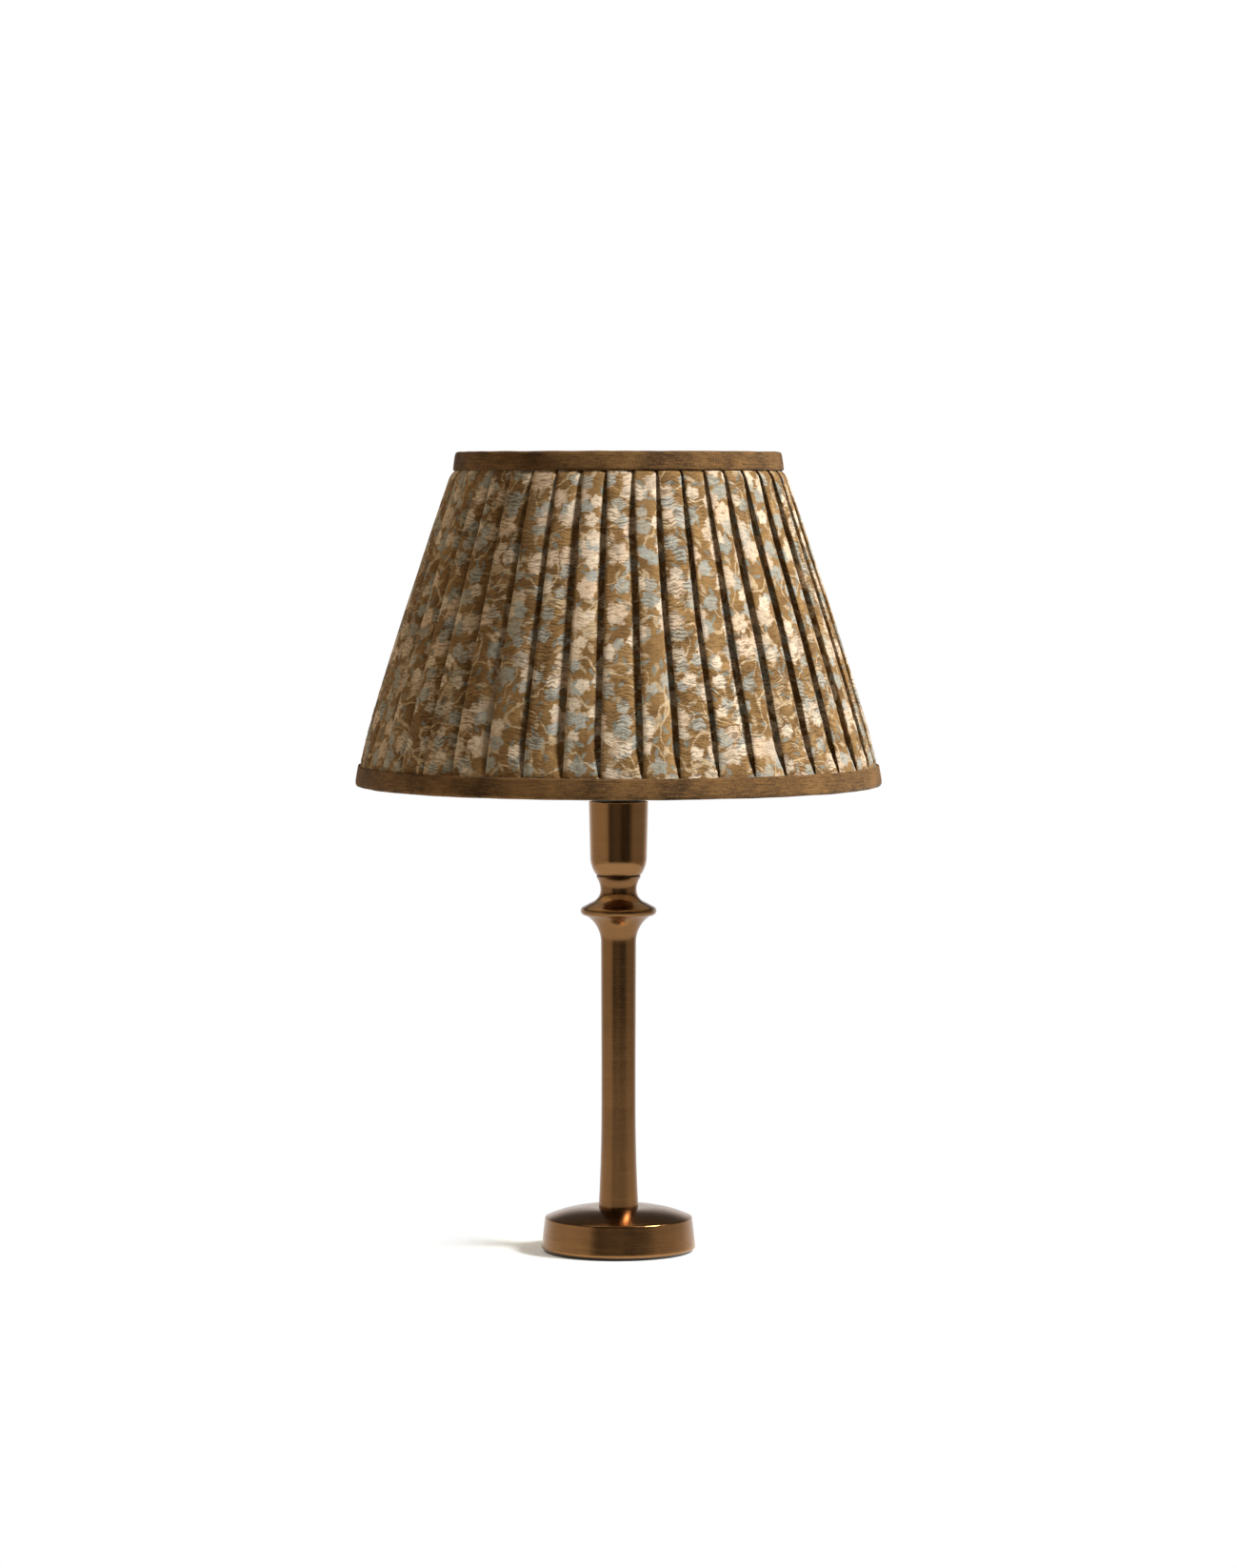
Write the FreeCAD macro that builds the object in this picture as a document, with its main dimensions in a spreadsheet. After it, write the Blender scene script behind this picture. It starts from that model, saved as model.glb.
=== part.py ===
"""Candlestick table lamp with a knife-pleated empire shade.

A round cast foot, a slim turned column, a drip pan and a candle cup stand on one
threaded rod. The cup holds a small screw lampholder. The shade hangs on the
lampholder's skirt, between a support ring and a clamp ring.

Millimetres, +Z up. The origin is the centre of the felt pad's underside.
"""
import FreeCAD
import Part
import Sketcher
import math
import os
import re

Vector = FreeCAD.Vector

SIZES = {
    # felt pad and foot
    "pad_radius": 42.6,
    "pad_thickness": 1.5,
    "foot_radius": 44.15,
    "foot_edge_round": 1.2,
    "foot_rim_height": 15.5,
    "foot_rim_taper": 2.05,
    "foot_shoulder_run": 4.6,
    "foot_shoulder_rise": 4.2,
    "foot_shoulder_round": 6.5,
    "foot_crown_rise": 4.4,
    "foot_crown_round": 92.0,
    "foot_well_radius": 17.0,
    "foot_roof_thickness": 8.0,
    # cord inlet at the back of the foot
    "inlet_height": 9.4,
    "inlet_bore": 3.2,
    "inlet_barrel": 4.4,
    "inlet_barrel_length": 9.0,
    "inlet_flange": 5.6,
    "inlet_flange_thickness": 2.0,
    "inlet_spot_depth": 2.4,
    "inlet_clearance": 0.1,
    # threaded rod, nuts and washers
    "rod_radius": 5.0,
    "rod_bore": 3.6,
    "rod_clearance": 0.2,
    "rod_tail": 2.0,
    "nut_flat_radius": 7.0,
    "nut_height": 4.0,
    "washer_radius": 11.0,
    "washer_thickness": 1.6,
    # column
    "column_foot_radius": 11.3,
    "column_waist_radius": 9.77,
    "column_swell_height": 58.0,
    "column_waist_length": 26.0,
    "column_neck_radius": 10.0,
    "column_length": 166.9,
    "column_flare_height": 16.3,
    "column_flare_radius": 18.6,
    "column_flare_round": 18.2,
    "column_bore": 6.6,
    "column_land": 10.0,
    # drip pan with its neck
    "pan_seat_radius": 18.9,
    "pan_lip_height": 4.7,
    "pan_lip_run": 1.7,
    "pan_lip_round": 2.6,
    "pan_slope_run": 5.1,
    "pan_slope_rise": 2.7,
    "neck_radius": 10.3,
    "neck_cove_height": 7.1,
    "neck_cove_round": 7.6,
    "neck_flare_height": 7.8,
    "neck_flare_radius": 13.0,
    "neck_flare_round": 12.6,
    # candle cup
    "cup_washer_radius": 12.3,
    "cup_washer_thickness": 1.2,
    "cup_seat_radius": 13.1,
    "cup_bowl_height": 10.0,
    "cup_bowl_radius": 16.2,
    "cup_bowl_round": 18.0,
    "cup_rim_radius": 16.95,
    "cup_height": 41.6,
    "cup_wall": 1.0,
    "cup_floor": 1.6,
    "cup_nut_height": 3.0,
    # lampholder
    "holder_gap": 0.3,
    "holder_entry_radius": 8.0,
    "holder_entry_height": 7.0,
    "holder_cap_height": 26.0,
    "holder_cap_wall": 1.8,
    "holder_floor": 2.2,
    "skirt_radius": 14.0,
    "skirt_length": 38.0,
    "skirt_wall": 1.7,
    "insert_thickness": 9.0,
    "insert_clearance": 0.2,
    "insert_collar_radius": 9.4,
    "insert_collar_height": 12.0,
    "shell_radius": 7.2,
    "shell_wall": 0.4,
    "shell_height": 23.0,
    "contact_width": 4.0,
    "contact_thickness": 0.6,
    "contact_rise": 3.0,
    "terminal_radius": 1.6,
    "terminal_length": 6.0,
    "terminal_offset": 5.6,
    # bulb
    "bulb_gap": 0.3,
    "bulb_tip_radius": 2.4,
    "bulb_tip_height": 1.2,
    "bulb_insulator_height": 3.0,
    "bulb_cap_radius": 6.8,
    "bulb_cap_height": 20.0,
    "bulb_neck_radius": 6.4,
    "bulb_shoulder_height": 12.0,
    "bulb_radius": 11.0,
    "bulb_length": 62.0,
    "bulb_glass": 0.8,
    "bulb_stem_radius": 2.2,
    "bulb_stem_height": 16.0,
    "filament_radius": 0.8,
    "filament_length": 28.0,
    "filament_circle": 2.6,
    # shade rings and the spider that carries the shade
    "ring_clearance": 0.3,
    "ring_radius": 18.6,
    "ring_height": 5.0,
    "ring_flange_radius": 20.4,
    "ring_flange": 1.8,
    "ring_cup_gap": 5.7,
    "carrier_margin": 0.6,
    "carrier_thickness": 1.6,
    "carrier_bore_clearance": 0.4,
    "seat_gap": 0.3,
    "spider_wire": 1.5,
    # shade
    "shade_height": 189.5,
    "shade_bottom_radius": 150.0,
    "shade_top_radius": 92.7,
    "shade_bulge": 2.8,
    "frame_wire": 1.5,
    "strut_wire": 1.2,
    "top_ring_inset": 1.2,
    "weld_gap": 0.1,
    "cloth_gap": 0.3,
    "lining_thickness": 0.6,
    "lining_seam": 0.2,
    "cover_thickness": 0.8,
    "pleat_depth": 2.3,
    "pleat_top_depth": 1.2,
    "pleat_pressed_depth": 0.7,
    "pleat_turn": 0.4,
    "puff_height": 3.5,
    "trim_thickness": 0.8,
    "trim_top_width": 10.6,
    "trim_bottom_width": 11.8,
    "trim_inner_width": 8.0,
    "trim_top_lean": 1.3,
    "trim_bottom_lean": 2.0,
}

PLEATS = 42
STRUTS = 6
ARMS = 3
GORES = 24
FILAMENTS = 4

# Heights, each one built on the piece below it.
PAD_TOP = "pad_thickness"
RIM_TOP = f"({PAD_TOP} + foot_rim_height)"
FOOT_TOP = f"({RIM_TOP} + foot_shoulder_rise + foot_crown_rise)"
ROOF = f"({FOOT_TOP} - foot_roof_thickness)"
COLUMN_TOP = f"({FOOT_TOP} + column_length)"
PAN_EDGE = f"({COLUMN_TOP} + pan_lip_height)"
PAN_CROWN = f"({PAN_EDGE} + pan_slope_rise)"
NECK = f"({PAN_CROWN} + neck_cove_height)"
NECK_TOP = f"({NECK} + neck_flare_height)"
CUP_BASE = f"({NECK_TOP} + cup_washer_thickness)"
CUP_TOP = f"({CUP_BASE} + cup_height)"
CUP_FLOOR = f"({CUP_BASE} + cup_floor)"
HOLDER_BASE = f"({CUP_FLOOR} + cup_nut_height + holder_gap)"
HOLDER_CAP_TOP = f"({HOLDER_BASE} + holder_cap_height)"
SKIRT_TOP = f"({HOLDER_CAP_TOP} + skirt_length)"
INSERT_TOP = f"({HOLDER_CAP_TOP} + insert_thickness)"
CONTACT_TOP = f"({INSERT_TOP} + contact_rise)"
BULB_BASE = f"({CONTACT_TOP} + bulb_gap)"
BULB_CAP = f"({BULB_BASE} + bulb_tip_height + bulb_insulator_height)"
GLASS_BASE = f"({BULB_CAP} + bulb_cap_height)"
GLASS_TOP = f"({GLASS_BASE} + bulb_length)"
SUPPORT_BASE = f"({CUP_TOP} + ring_cup_gap)"
SUPPORT_TOP = f"({SUPPORT_BASE} + ring_height)"
SPIDER = f"({SUPPORT_TOP} + seat_gap + carrier_thickness / 2)"
CLAMP_BASE = f"({SPIDER} + carrier_thickness / 2 + seat_gap)"
SHADE_BOTTOM = f"({SPIDER} - frame_wire - trim_thickness - cloth_gap)"
SHADE_TOP = f"({SHADE_BOTTOM} + shade_height)"
TOP_RING = f"({SHADE_TOP} - frame_wire - trim_thickness - cloth_gap)"

# Radii that follow from the pieces they fit.
RIM_RADIUS = "(foot_radius - foot_rim_taper)"
SHOULDER_RADIUS = f"({RIM_RADIUS} - foot_shoulder_run)"
ROD_HOLE = "(rod_radius + rod_clearance)"
RING_BORE = "(skirt_radius + ring_clearance)"
CARRIER_BORE = "(skirt_radius + carrier_bore_clearance)"
COVER_SET_IN = "(trim_thickness + cloth_gap)"
RING_SET_IN = f"({COVER_SET_IN} + pleat_pressed_depth + cover_thickness + cloth_gap + frame_wire)"
BOTTOM_RING_LEAN = "(trim_bottom_lean * 3 * frame_wire / trim_bottom_width)"
BOTTOM_RING_RADIUS = f"(shade_bottom_radius - {RING_SET_IN} - {BOTTOM_RING_LEAN})"
TOP_RING_RADIUS = f"(shade_top_radius - {RING_SET_IN} - top_ring_inset)"
CARRIER_RADIUS = "(ring_flange_radius + carrier_margin)"
LINING_SAG = f"({BOTTOM_RING_RADIUS} * (1 - cos({180 / GORES})))"

doc = FreeCAD.newDocument("candlestick_lamp")
sheet = doc.addObject("Spreadsheet::Sheet", "Sizes")
reading = doc.addObject("App::FeaturePython", "Reading")
reading.addProperty("App::PropertyFloat", "Sum")
made = []


def fill_sheet():
    """Writes every driving size into the sheet, one row each."""
    for row, (name, size) in enumerate(SIZES.items(), start=1):
        sheet.set(f"A{row}", name)
        sheet.set(f"B{row}", str(size))
        sheet.setAlias(f"B{row}", name)
    doc.recompute()


def bound(text):
    """The same sum, with each size read from the sheet."""
    return re.sub(r"[a-z_]{3,}", lambda word: "Sizes." + word.group() if word.group() in SIZES else word.group(), text)


def value(text):
    """What the sum comes to with the sheet's present sizes."""
    reading.setExpression("Sum", bound(text))
    reading.recompute()
    return reading.Sum


def bend(radius, side):
    """An arc to the next corner, with its centre left or right of the way there."""
    return ("bend", radius, side)


def arc_between(start, end, radius, side):
    """The arc from start to end, and whether it runs clockwise."""
    along = end - start
    half = along.Length / 2
    reach = math.sqrt(max(radius * radius - half * half, 0.0))
    across = Vector(-along.y, along.x, 0).normalize()
    if side == "right":
        across = across * -1
    centre = (start + end) * 0.5 + across * reach
    from_angle = math.atan2(start.y - centre.y, start.x - centre.x)
    to_angle = math.atan2(end.y - centre.y, end.x - centre.x)
    circle = Part.Circle(centre, Vector(0, 0, 1), radius)
    if side == "left":
        return Part.ArcOfCircle(circle, from_angle, to_angle), False
    return Part.ArcOfCircle(circle, to_angle, from_angle), True


def pin_down(sketch, geometry, point, across, up):
    """Ties one corner of a sketch to the sheet."""
    for kind, axis, text in (("DistanceX", -2, across), ("DistanceY", -1, up)):
        if text == "0":
            sketch.addConstraint(Sketcher.Constraint("PointOnObject", geometry, point, axis))
            continue
        number = sketch.addConstraint(Sketcher.Constraint(kind, -1, 1, geometry, point, value(text)))
        sketch.setExpression(f"Constraints[{number}]", bound(text))


def draw(sketch, outline):
    """Draws a closed outline of corners and bends, bound to the sheet."""
    corners = []
    bends = {}
    for item in outline:
        if item[0] == "bend":
            bends[len(corners) - 1] = item[1:]
        else:
            corners.append(item)
    spots = [Vector(value(across), value(up), 0) for across, up in corners]
    ends = []
    for number, spot in enumerate(spots):
        following = spots[(number + 1) % len(spots)]
        if number in bends:
            radius, side = bends[number]
            curve, clockwise = arc_between(spot, following, value(radius), side)
            geometry = sketch.addGeometry(curve, False)
            size = sketch.addConstraint(Sketcher.Constraint("Radius", geometry, value(radius)))
            sketch.setExpression(f"Constraints[{size}]", bound(radius))
            ends.append((geometry, 2, 1) if clockwise else (geometry, 1, 2))
        else:
            ends.append((sketch.addGeometry(Part.LineSegment(spot, following), False), 1, 2))
    for number, (geometry, first, last) in enumerate(ends):
        following, opening, _ = ends[(number + 1) % len(ends)]
        sketch.addConstraint(Sketcher.Constraint("Coincident", geometry, last, following, opening))
    for (geometry, first, last), (across, up) in zip(ends, corners):
        pin_down(sketch, geometry, first, across, up)


def origin_feature(body, role):
    """One of the body's own origin planes or axes."""
    return next(item for item in body.Origin.OriginFeatures if item.Role == role)


def new_body(label):
    """An empty body that will be one piece of the lamp."""
    body = doc.addObject("PartDesign::Body", label)
    body.Label = label
    body.AllowCompound = True
    made.append(body)
    return body


def new_sketch(body, name, plane="XZ_Plane"):
    """An empty sketch on one of the body's origin planes."""
    sketch = body.newObject("Sketcher::SketchObject", name)
    sketch.AttachmentSupport = [(origin_feature(body, plane), "")]
    sketch.MapMode = "FlatFace"
    doc.recompute()
    return sketch


def turned(label, outline, angle=None):
    """A piece turned about the lamp's axis from its half section."""
    body = new_body(label)
    sketch = new_sketch(body, f"{label}_section")
    draw(sketch, outline)
    turn = body.newObject("PartDesign::Revolution", f"{label}_turned")
    turn.Profile = sketch
    turn.ReferenceAxis = (sketch, ["V_Axis"])
    turn.Angle = 360.0
    if angle:
        turn.Midplane = True
        turn.Angle = value(angle)
        turn.setExpression("Angle", bound(angle))
    doc.recompute()
    return body


def around(body, feature, count, name):
    """Repeats a feature evenly about the lamp's axis."""
    pattern = body.newObject("PartDesign::PolarPattern", name)
    pattern.Originals = [feature]
    pattern.Axis = (origin_feature(body, "Z_Axis"), [""])
    pattern.Angle = 360.0
    pattern.Occurrences = count
    body.Tip = pattern
    doc.recompute()
    return pattern


def across_hole(body, name, radius, height, start, end, axis="XZ_Plane"):
    """A round hole that runs level from the lamp's axis outwards."""
    sketch = new_sketch(body, f"{name}_section", axis)
    draw(sketch, [
        (start, height),
        (end, height),
        (end, f"({height} + {radius})"),
        (start, f"({height} + {radius})"),
    ])
    line = sketch.addGeometry(Part.LineSegment(Vector(1, 0, 0), Vector(2, 0, 0)), True)
    for point, text in ((1, start), (2, end)):
        pin_down(sketch, line, point, text, height)
    groove = body.newObject("PartDesign::Groove", name)
    groove.Profile = sketch
    groove.ReferenceAxis = (sketch, ["Axis0"])
    groove.Angle = 360.0
    doc.recompute()
    return groove


def make_pad():
    """The felt disc that the foot stands on."""
    turned("felt_pad", [
        ("0", "0"),
        ("pad_radius", "0"),
        ("pad_radius", PAD_TOP),
        ("0", PAD_TOP),
    ])


def make_foot():
    """The cast foot: a tapered rim, a crisp edge and a low crown, with a well beneath."""
    foot = turned("foot", [
        ("foot_well_radius", PAD_TOP),
        ("(foot_radius - foot_edge_round)", PAD_TOP),
        bend("foot_edge_round", "left"),
        ("foot_radius", f"({PAD_TOP} + foot_edge_round)"),
        (RIM_RADIUS, RIM_TOP),
        bend("foot_shoulder_round", "left"),
        (SHOULDER_RADIUS, f"({RIM_TOP} + foot_shoulder_rise)"),
        bend("foot_crown_round", "left"),
        ("column_foot_radius", FOOT_TOP),
        (ROD_HOLE, FOOT_TOP),
        (ROD_HOLE, ROOF),
        ("foot_well_radius", ROOF),
    ])
    barrel = "(inlet_barrel + inlet_clearance)"
    across_hole(foot, "inlet_channel", barrel, "inlet_height", "(foot_well_radius - 1)", "(foot_radius + 5)", "YZ_Plane")
    spot = "(inlet_flange + inlet_clearance)"
    across_hole(foot, "inlet_spot_face", spot, "inlet_height", "(foot_radius - inlet_spot_depth)", "(foot_radius + 5)", "YZ_Plane")


def make_inlet_bush():
    """The flanged bush that lines the cord's way in, at the back."""
    bush = new_body("inlet_bush")
    sketch = new_sketch(bush, "inlet_bush_section", "YZ_Plane")
    seat = "(foot_radius - inlet_spot_depth)"
    inner = f"({seat} - inlet_barrel_length)"
    outer = f"({seat} + inlet_flange_thickness)"
    draw(sketch, [
        (inner, "(inlet_height + inlet_bore)"),
        (outer, "(inlet_height + inlet_bore)"),
        (outer, "(inlet_height + inlet_flange)"),
        (seat, "(inlet_height + inlet_flange)"),
        (seat, "(inlet_height + inlet_barrel)"),
        (inner, "(inlet_height + inlet_barrel)"),
    ])
    line = sketch.addGeometry(Part.LineSegment(Vector(1, 0, 0), Vector(2, 0, 0)), True)
    for point, text in ((1, inner), (2, outer)):
        pin_down(sketch, line, point, text, "inlet_height")
    turn = bush.newObject("PartDesign::Revolution", "inlet_bush_turned")
    turn.Profile = sketch
    turn.ReferenceAxis = (sketch, ["Axis0"])
    turn.Angle = 360.0
    doc.recompute()


def make_rod():
    """The hollow threaded rod that ties the whole stem together."""
    turned("threaded_rod", [
        ("rod_bore", f"({ROOF} - washer_thickness - nut_height - rod_tail)"),
        ("rod_radius", f"({ROOF} - washer_thickness - nut_height - rod_tail)"),
        ("rod_radius", f"({HOLDER_BASE} + holder_entry_height)"),
        ("rod_bore", f"({HOLDER_BASE} + holder_entry_height)"),
    ])


def washer(label, radius, base, thickness):
    """A flat ring on the rod."""
    turned(label, [
        (ROD_HOLE, base),
        (radius, base),
        (radius, f"({base} + {thickness})"),
        (ROD_HOLE, f"({base} + {thickness})"),
    ])


def nut(label, base, height):
    """A hexagon nut on the rod."""
    block = doc.addObject("Part::Prism", f"{label}_block")
    block.Polygon = 6
    block.setExpression("Circumradius", bound("nut_flat_radius / cos(30)"))
    block.setExpression("Height", bound(height))
    block.setExpression("Placement.Base.z", bound(base))
    hole = doc.addObject("Part::Cylinder", f"{label}_hole")
    hole.setExpression("Radius", bound(ROD_HOLE))
    hole.setExpression("Height", bound(f"{height} + 2"))
    hole.setExpression("Placement.Base.z", bound(f"{base} - 1"))
    cut = doc.addObject("Part::Cut", label)
    cut.Base = block
    cut.Tool = hole
    cut.Label = label
    made.append(cut)


def make_column():
    """The turned column: a swelling foot, a straight waist and a flare under the pan."""
    land_top = f"({FOOT_TOP} + column_land)"
    land_base = f"({COLUMN_TOP} - column_land)"
    turned("column", [
        (ROD_HOLE, FOOT_TOP),
        ("column_foot_radius", FOOT_TOP),
        bend("(column_swell_height ^ 2 / (2 * (column_foot_radius - column_waist_radius)))", "right"),
        ("column_waist_radius", f"({FOOT_TOP} + column_swell_height)"),
        ("column_waist_radius", f"({FOOT_TOP} + column_swell_height + column_waist_length)"),
        ("column_neck_radius", f"({COLUMN_TOP} - column_flare_height)"),
        bend("column_flare_round", "right"),
        ("column_flare_radius", COLUMN_TOP),
        (ROD_HOLE, COLUMN_TOP),
        (ROD_HOLE, land_base),
        ("column_bore", land_base),
        ("column_bore", land_top),
        (ROD_HOLE, land_top),
    ])


def make_pan():
    """The drip pan with the waisted neck that carries the candle cup."""
    edge = "(pan_seat_radius + pan_lip_run)"
    turned("drip_pan", [
        (ROD_HOLE, COLUMN_TOP),
        ("pan_seat_radius", COLUMN_TOP),
        bend("pan_lip_round", "left"),
        (edge, PAN_EDGE),
        (f"({edge} - pan_slope_run)", PAN_CROWN),
        bend("neck_cove_round", "right"),
        ("neck_radius", NECK),
        bend("neck_flare_round", "right"),
        ("neck_flare_radius", NECK_TOP),
        (ROD_HOLE, NECK_TOP),
    ])


def make_cup():
    """The thin candle cup, with a rounded bowl below and a rolled lip."""
    turned("candle_cup", [
        (ROD_HOLE, CUP_BASE),
        ("cup_seat_radius", CUP_BASE),
        bend("cup_bowl_round", "left"),
        ("cup_bowl_radius", f"({CUP_BASE} + cup_bowl_height)"),
        ("cup_rim_radius", f"({CUP_TOP} - cup_wall / 2)"),
        bend("(cup_wall / 2)", "left"),
        ("(cup_rim_radius - cup_wall / 2)", CUP_TOP),
        bend("(cup_wall / 2)", "left"),
        ("(cup_rim_radius - cup_wall)", f"({CUP_TOP} - cup_wall / 2)"),
        ("(cup_bowl_radius - cup_wall)", f"({CUP_BASE} + cup_bowl_height)"),
        bend("(cup_bowl_round - cup_wall)", "right"),
        ("(cup_seat_radius - cup_wall / 2)", CUP_FLOOR),
        (ROD_HOLE, CUP_FLOOR),
    ])


def make_holder():
    """The lampholder: screwed cap, threaded skirt, ceramic insert and its contacts."""
    entry_top = f"({HOLDER_BASE} + holder_entry_height)"
    bowl = f"({entry_top} + skirt_radius - holder_entry_radius)"
    turned("holder_cap", [
        (ROD_HOLE, HOLDER_BASE),
        ("holder_entry_radius", HOLDER_BASE),
        ("holder_entry_radius", entry_top),
        bend("(skirt_radius - holder_entry_radius)", "left"),
        ("skirt_radius", bowl),
        ("skirt_radius", HOLDER_CAP_TOP),
        ("(skirt_radius - holder_cap_wall)", HOLDER_CAP_TOP),
        ("(skirt_radius - holder_cap_wall)", f"({bowl} + holder_floor)"),
        (ROD_HOLE, f"({entry_top} + holder_floor)"),
    ])
    turned("holder_skirt", [
        ("(skirt_radius - skirt_wall)", HOLDER_CAP_TOP),
        ("skirt_radius", HOLDER_CAP_TOP),
        ("skirt_radius", SKIRT_TOP),
        ("(skirt_radius - skirt_wall)", SKIRT_TOP),
    ])
    outer = "(skirt_radius - skirt_wall - insert_clearance)"
    seat = "(shell_radius + shell_wall + insert_clearance)"
    turned("holder_insert", [
        ("0", HOLDER_CAP_TOP),
        (outer, HOLDER_CAP_TOP),
        (outer, INSERT_TOP),
        ("insert_collar_radius", INSERT_TOP),
        ("insert_collar_radius", f"({INSERT_TOP} + insert_collar_height)"),
        (seat, f"({INSERT_TOP} + insert_collar_height)"),
        (seat, INSERT_TOP),
        ("0", INSERT_TOP),
    ])
    turned("screw_shell", [
        ("shell_radius", INSERT_TOP),
        ("(shell_radius + shell_wall)", INSERT_TOP),
        ("(shell_radius + shell_wall)", f"({INSERT_TOP} + shell_height)"),
        ("shell_radius", f"({INSERT_TOP} + shell_height)"),
    ])


def make_contact():
    """The bent strip under the bulb's tip: a flat tail and a raised tongue."""
    strip = new_body("centre_contact")
    sketch = new_sketch(strip, "centre_contact_section")
    low = f"({INSERT_TOP} + contact_thickness)"
    tongue = f"({CONTACT_TOP} - contact_thickness)"
    draw(sketch, [
        ("(0 - shell_radius + 2 * contact_thickness)", INSERT_TOP),
        ("(0 - contact_thickness)", INSERT_TOP),
        ("(bulb_tip_radius / 2)", tongue),
        ("(bulb_tip_radius + contact_thickness)", tongue),
        ("(bulb_tip_radius + contact_thickness)", CONTACT_TOP),
        ("0", CONTACT_TOP),
        ("(0 - 2 * contact_thickness)", low),
        ("(0 - shell_radius + 2 * contact_thickness)", low),
    ])
    pad = strip.newObject("PartDesign::Pad", "centre_contact_strip")
    pad.Profile = sketch
    pad.Midplane = True
    pad.setExpression("Length", bound("contact_width"))
    doc.recompute()


def make_terminals():
    """The two terminal screws under the insert, inside the cap."""
    screws = new_body("terminal_screws")
    sketch = new_sketch(screws, "terminal_section")
    top = f"({HOLDER_CAP_TOP} - insert_clearance)"
    draw(sketch, [
        ("terminal_offset", f"({top} - terminal_length)"),
        ("(terminal_offset + terminal_radius)", f"({top} - terminal_length)"),
        ("(terminal_offset + terminal_radius)", top),
        ("terminal_offset", top),
    ])
    line = sketch.addGeometry(Part.LineSegment(Vector(1, 0, 0), Vector(1, 1, 0)), True)
    for point, text in ((1, f"({top} - terminal_length)"), (2, top)):
        pin_down(sketch, line, point, "terminal_offset", text)
    turn = screws.newObject("PartDesign::Revolution", "terminal_screw")
    turn.Profile = sketch
    turn.ReferenceAxis = (sketch, ["Axis0"])
    turn.Angle = 360.0
    doc.recompute()
    around(screws, turn, 2, "terminal_pair")


def make_bulb():
    """A slim tubular bulb, narrow enough for the shade rings to pass over it."""
    insulator = f"({BULB_BASE} + bulb_tip_height)"
    turned("bulb_tip", [
        ("0", BULB_BASE),
        ("bulb_tip_radius", BULB_BASE),
        ("bulb_tip_radius", insulator),
        ("0", insulator),
    ])
    turned("bulb_insulator", [
        ("0", insulator),
        ("bulb_tip_radius", insulator),
        ("(bulb_cap_radius - bulb_glass)", BULB_CAP),
        ("0", BULB_CAP),
    ])
    turned("bulb_cap", [
        ("0", BULB_CAP),
        ("(bulb_cap_radius - bulb_glass)", BULB_CAP),
        ("bulb_cap_radius", f"({BULB_CAP} + bulb_glass)"),
        ("bulb_cap_radius", GLASS_BASE),
        ("0", GLASS_BASE),
    ])
    shoulder = f"({GLASS_BASE} + bulb_shoulder_height)"
    crown = f"({GLASS_TOP} - bulb_radius)"
    inner = "(bulb_radius - bulb_glass)"
    inner_neck = "(bulb_neck_radius - bulb_glass)"
    turned("bulb_glass", [
        (inner_neck, GLASS_BASE),
        ("bulb_neck_radius", GLASS_BASE),
        ("bulb_radius", shoulder),
        ("bulb_radius", crown),
        bend("bulb_radius", "left"),
        ("0", GLASS_TOP),
        ("0", f"({GLASS_TOP} - bulb_glass)"),
        bend(inner, "right"),
        (inner, crown),
        (inner, shoulder),
    ])
    turned("bulb_stem", [
        ("0", GLASS_BASE),
        ("bulb_stem_radius", GLASS_BASE),
        ("(bulb_stem_radius / 2)", f"({GLASS_BASE} + bulb_stem_height)"),
        ("0", f"({GLASS_BASE} + bulb_stem_height)"),
    ])


def make_filaments():
    """The upright glowing rods around the bulb's stem."""
    rods = new_body("filaments")
    sketch = new_sketch(rods, "filament_section")
    base = f"({GLASS_BASE} + bulb_shoulder_height)"
    top = f"({base} + filament_length)"
    draw(sketch, [
        ("filament_circle", base),
        ("(filament_circle + filament_radius)", base),
        ("(filament_circle + filament_radius)", top),
        ("filament_circle", top),
    ])
    line = sketch.addGeometry(Part.LineSegment(Vector(1, 0, 0), Vector(1, 1, 0)), True)
    for point, text in ((1, base), (2, top)):
        pin_down(sketch, line, point, "filament_circle", text)
    turn = rods.newObject("PartDesign::Revolution", "filament_rod")
    turn.Profile = sketch
    turn.ReferenceAxis = (sketch, ["Axis0"])
    turn.Angle = 360.0
    doc.recompute()
    around(rods, turn, FILAMENTS, "filament_ring")


def make_shade_rings():
    """The support ring below the carrier and the clamp ring above it."""
    turned("support_ring", [
        (RING_BORE, SUPPORT_BASE),
        ("ring_radius", SUPPORT_BASE),
        ("ring_radius", f"({SUPPORT_TOP} - ring_flange)"),
        ("ring_flange_radius", f"({SUPPORT_TOP} - ring_flange)"),
        ("ring_flange_radius", SUPPORT_TOP),
        (RING_BORE, SUPPORT_TOP),
    ])
    turned("clamp_ring", [
        (RING_BORE, CLAMP_BASE),
        ("ring_flange_radius", CLAMP_BASE),
        ("ring_flange_radius", f"({CLAMP_BASE} + ring_flange)"),
        ("ring_radius", f"({CLAMP_BASE} + ring_flange)"),
        ("ring_radius", f"({CLAMP_BASE} + ring_height)"),
        (RING_BORE, f"({CLAMP_BASE} + ring_height)"),
    ])
    turned("carrier_ring", [
        (CARRIER_BORE, f"({SPIDER} - carrier_thickness / 2)"),
        (CARRIER_RADIUS, f"({SPIDER} - carrier_thickness / 2)"),
        (CARRIER_RADIUS, f"({SPIDER} + carrier_thickness / 2)"),
        (CARRIER_BORE, f"({SPIDER} + carrier_thickness / 2)"),
    ])


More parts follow.
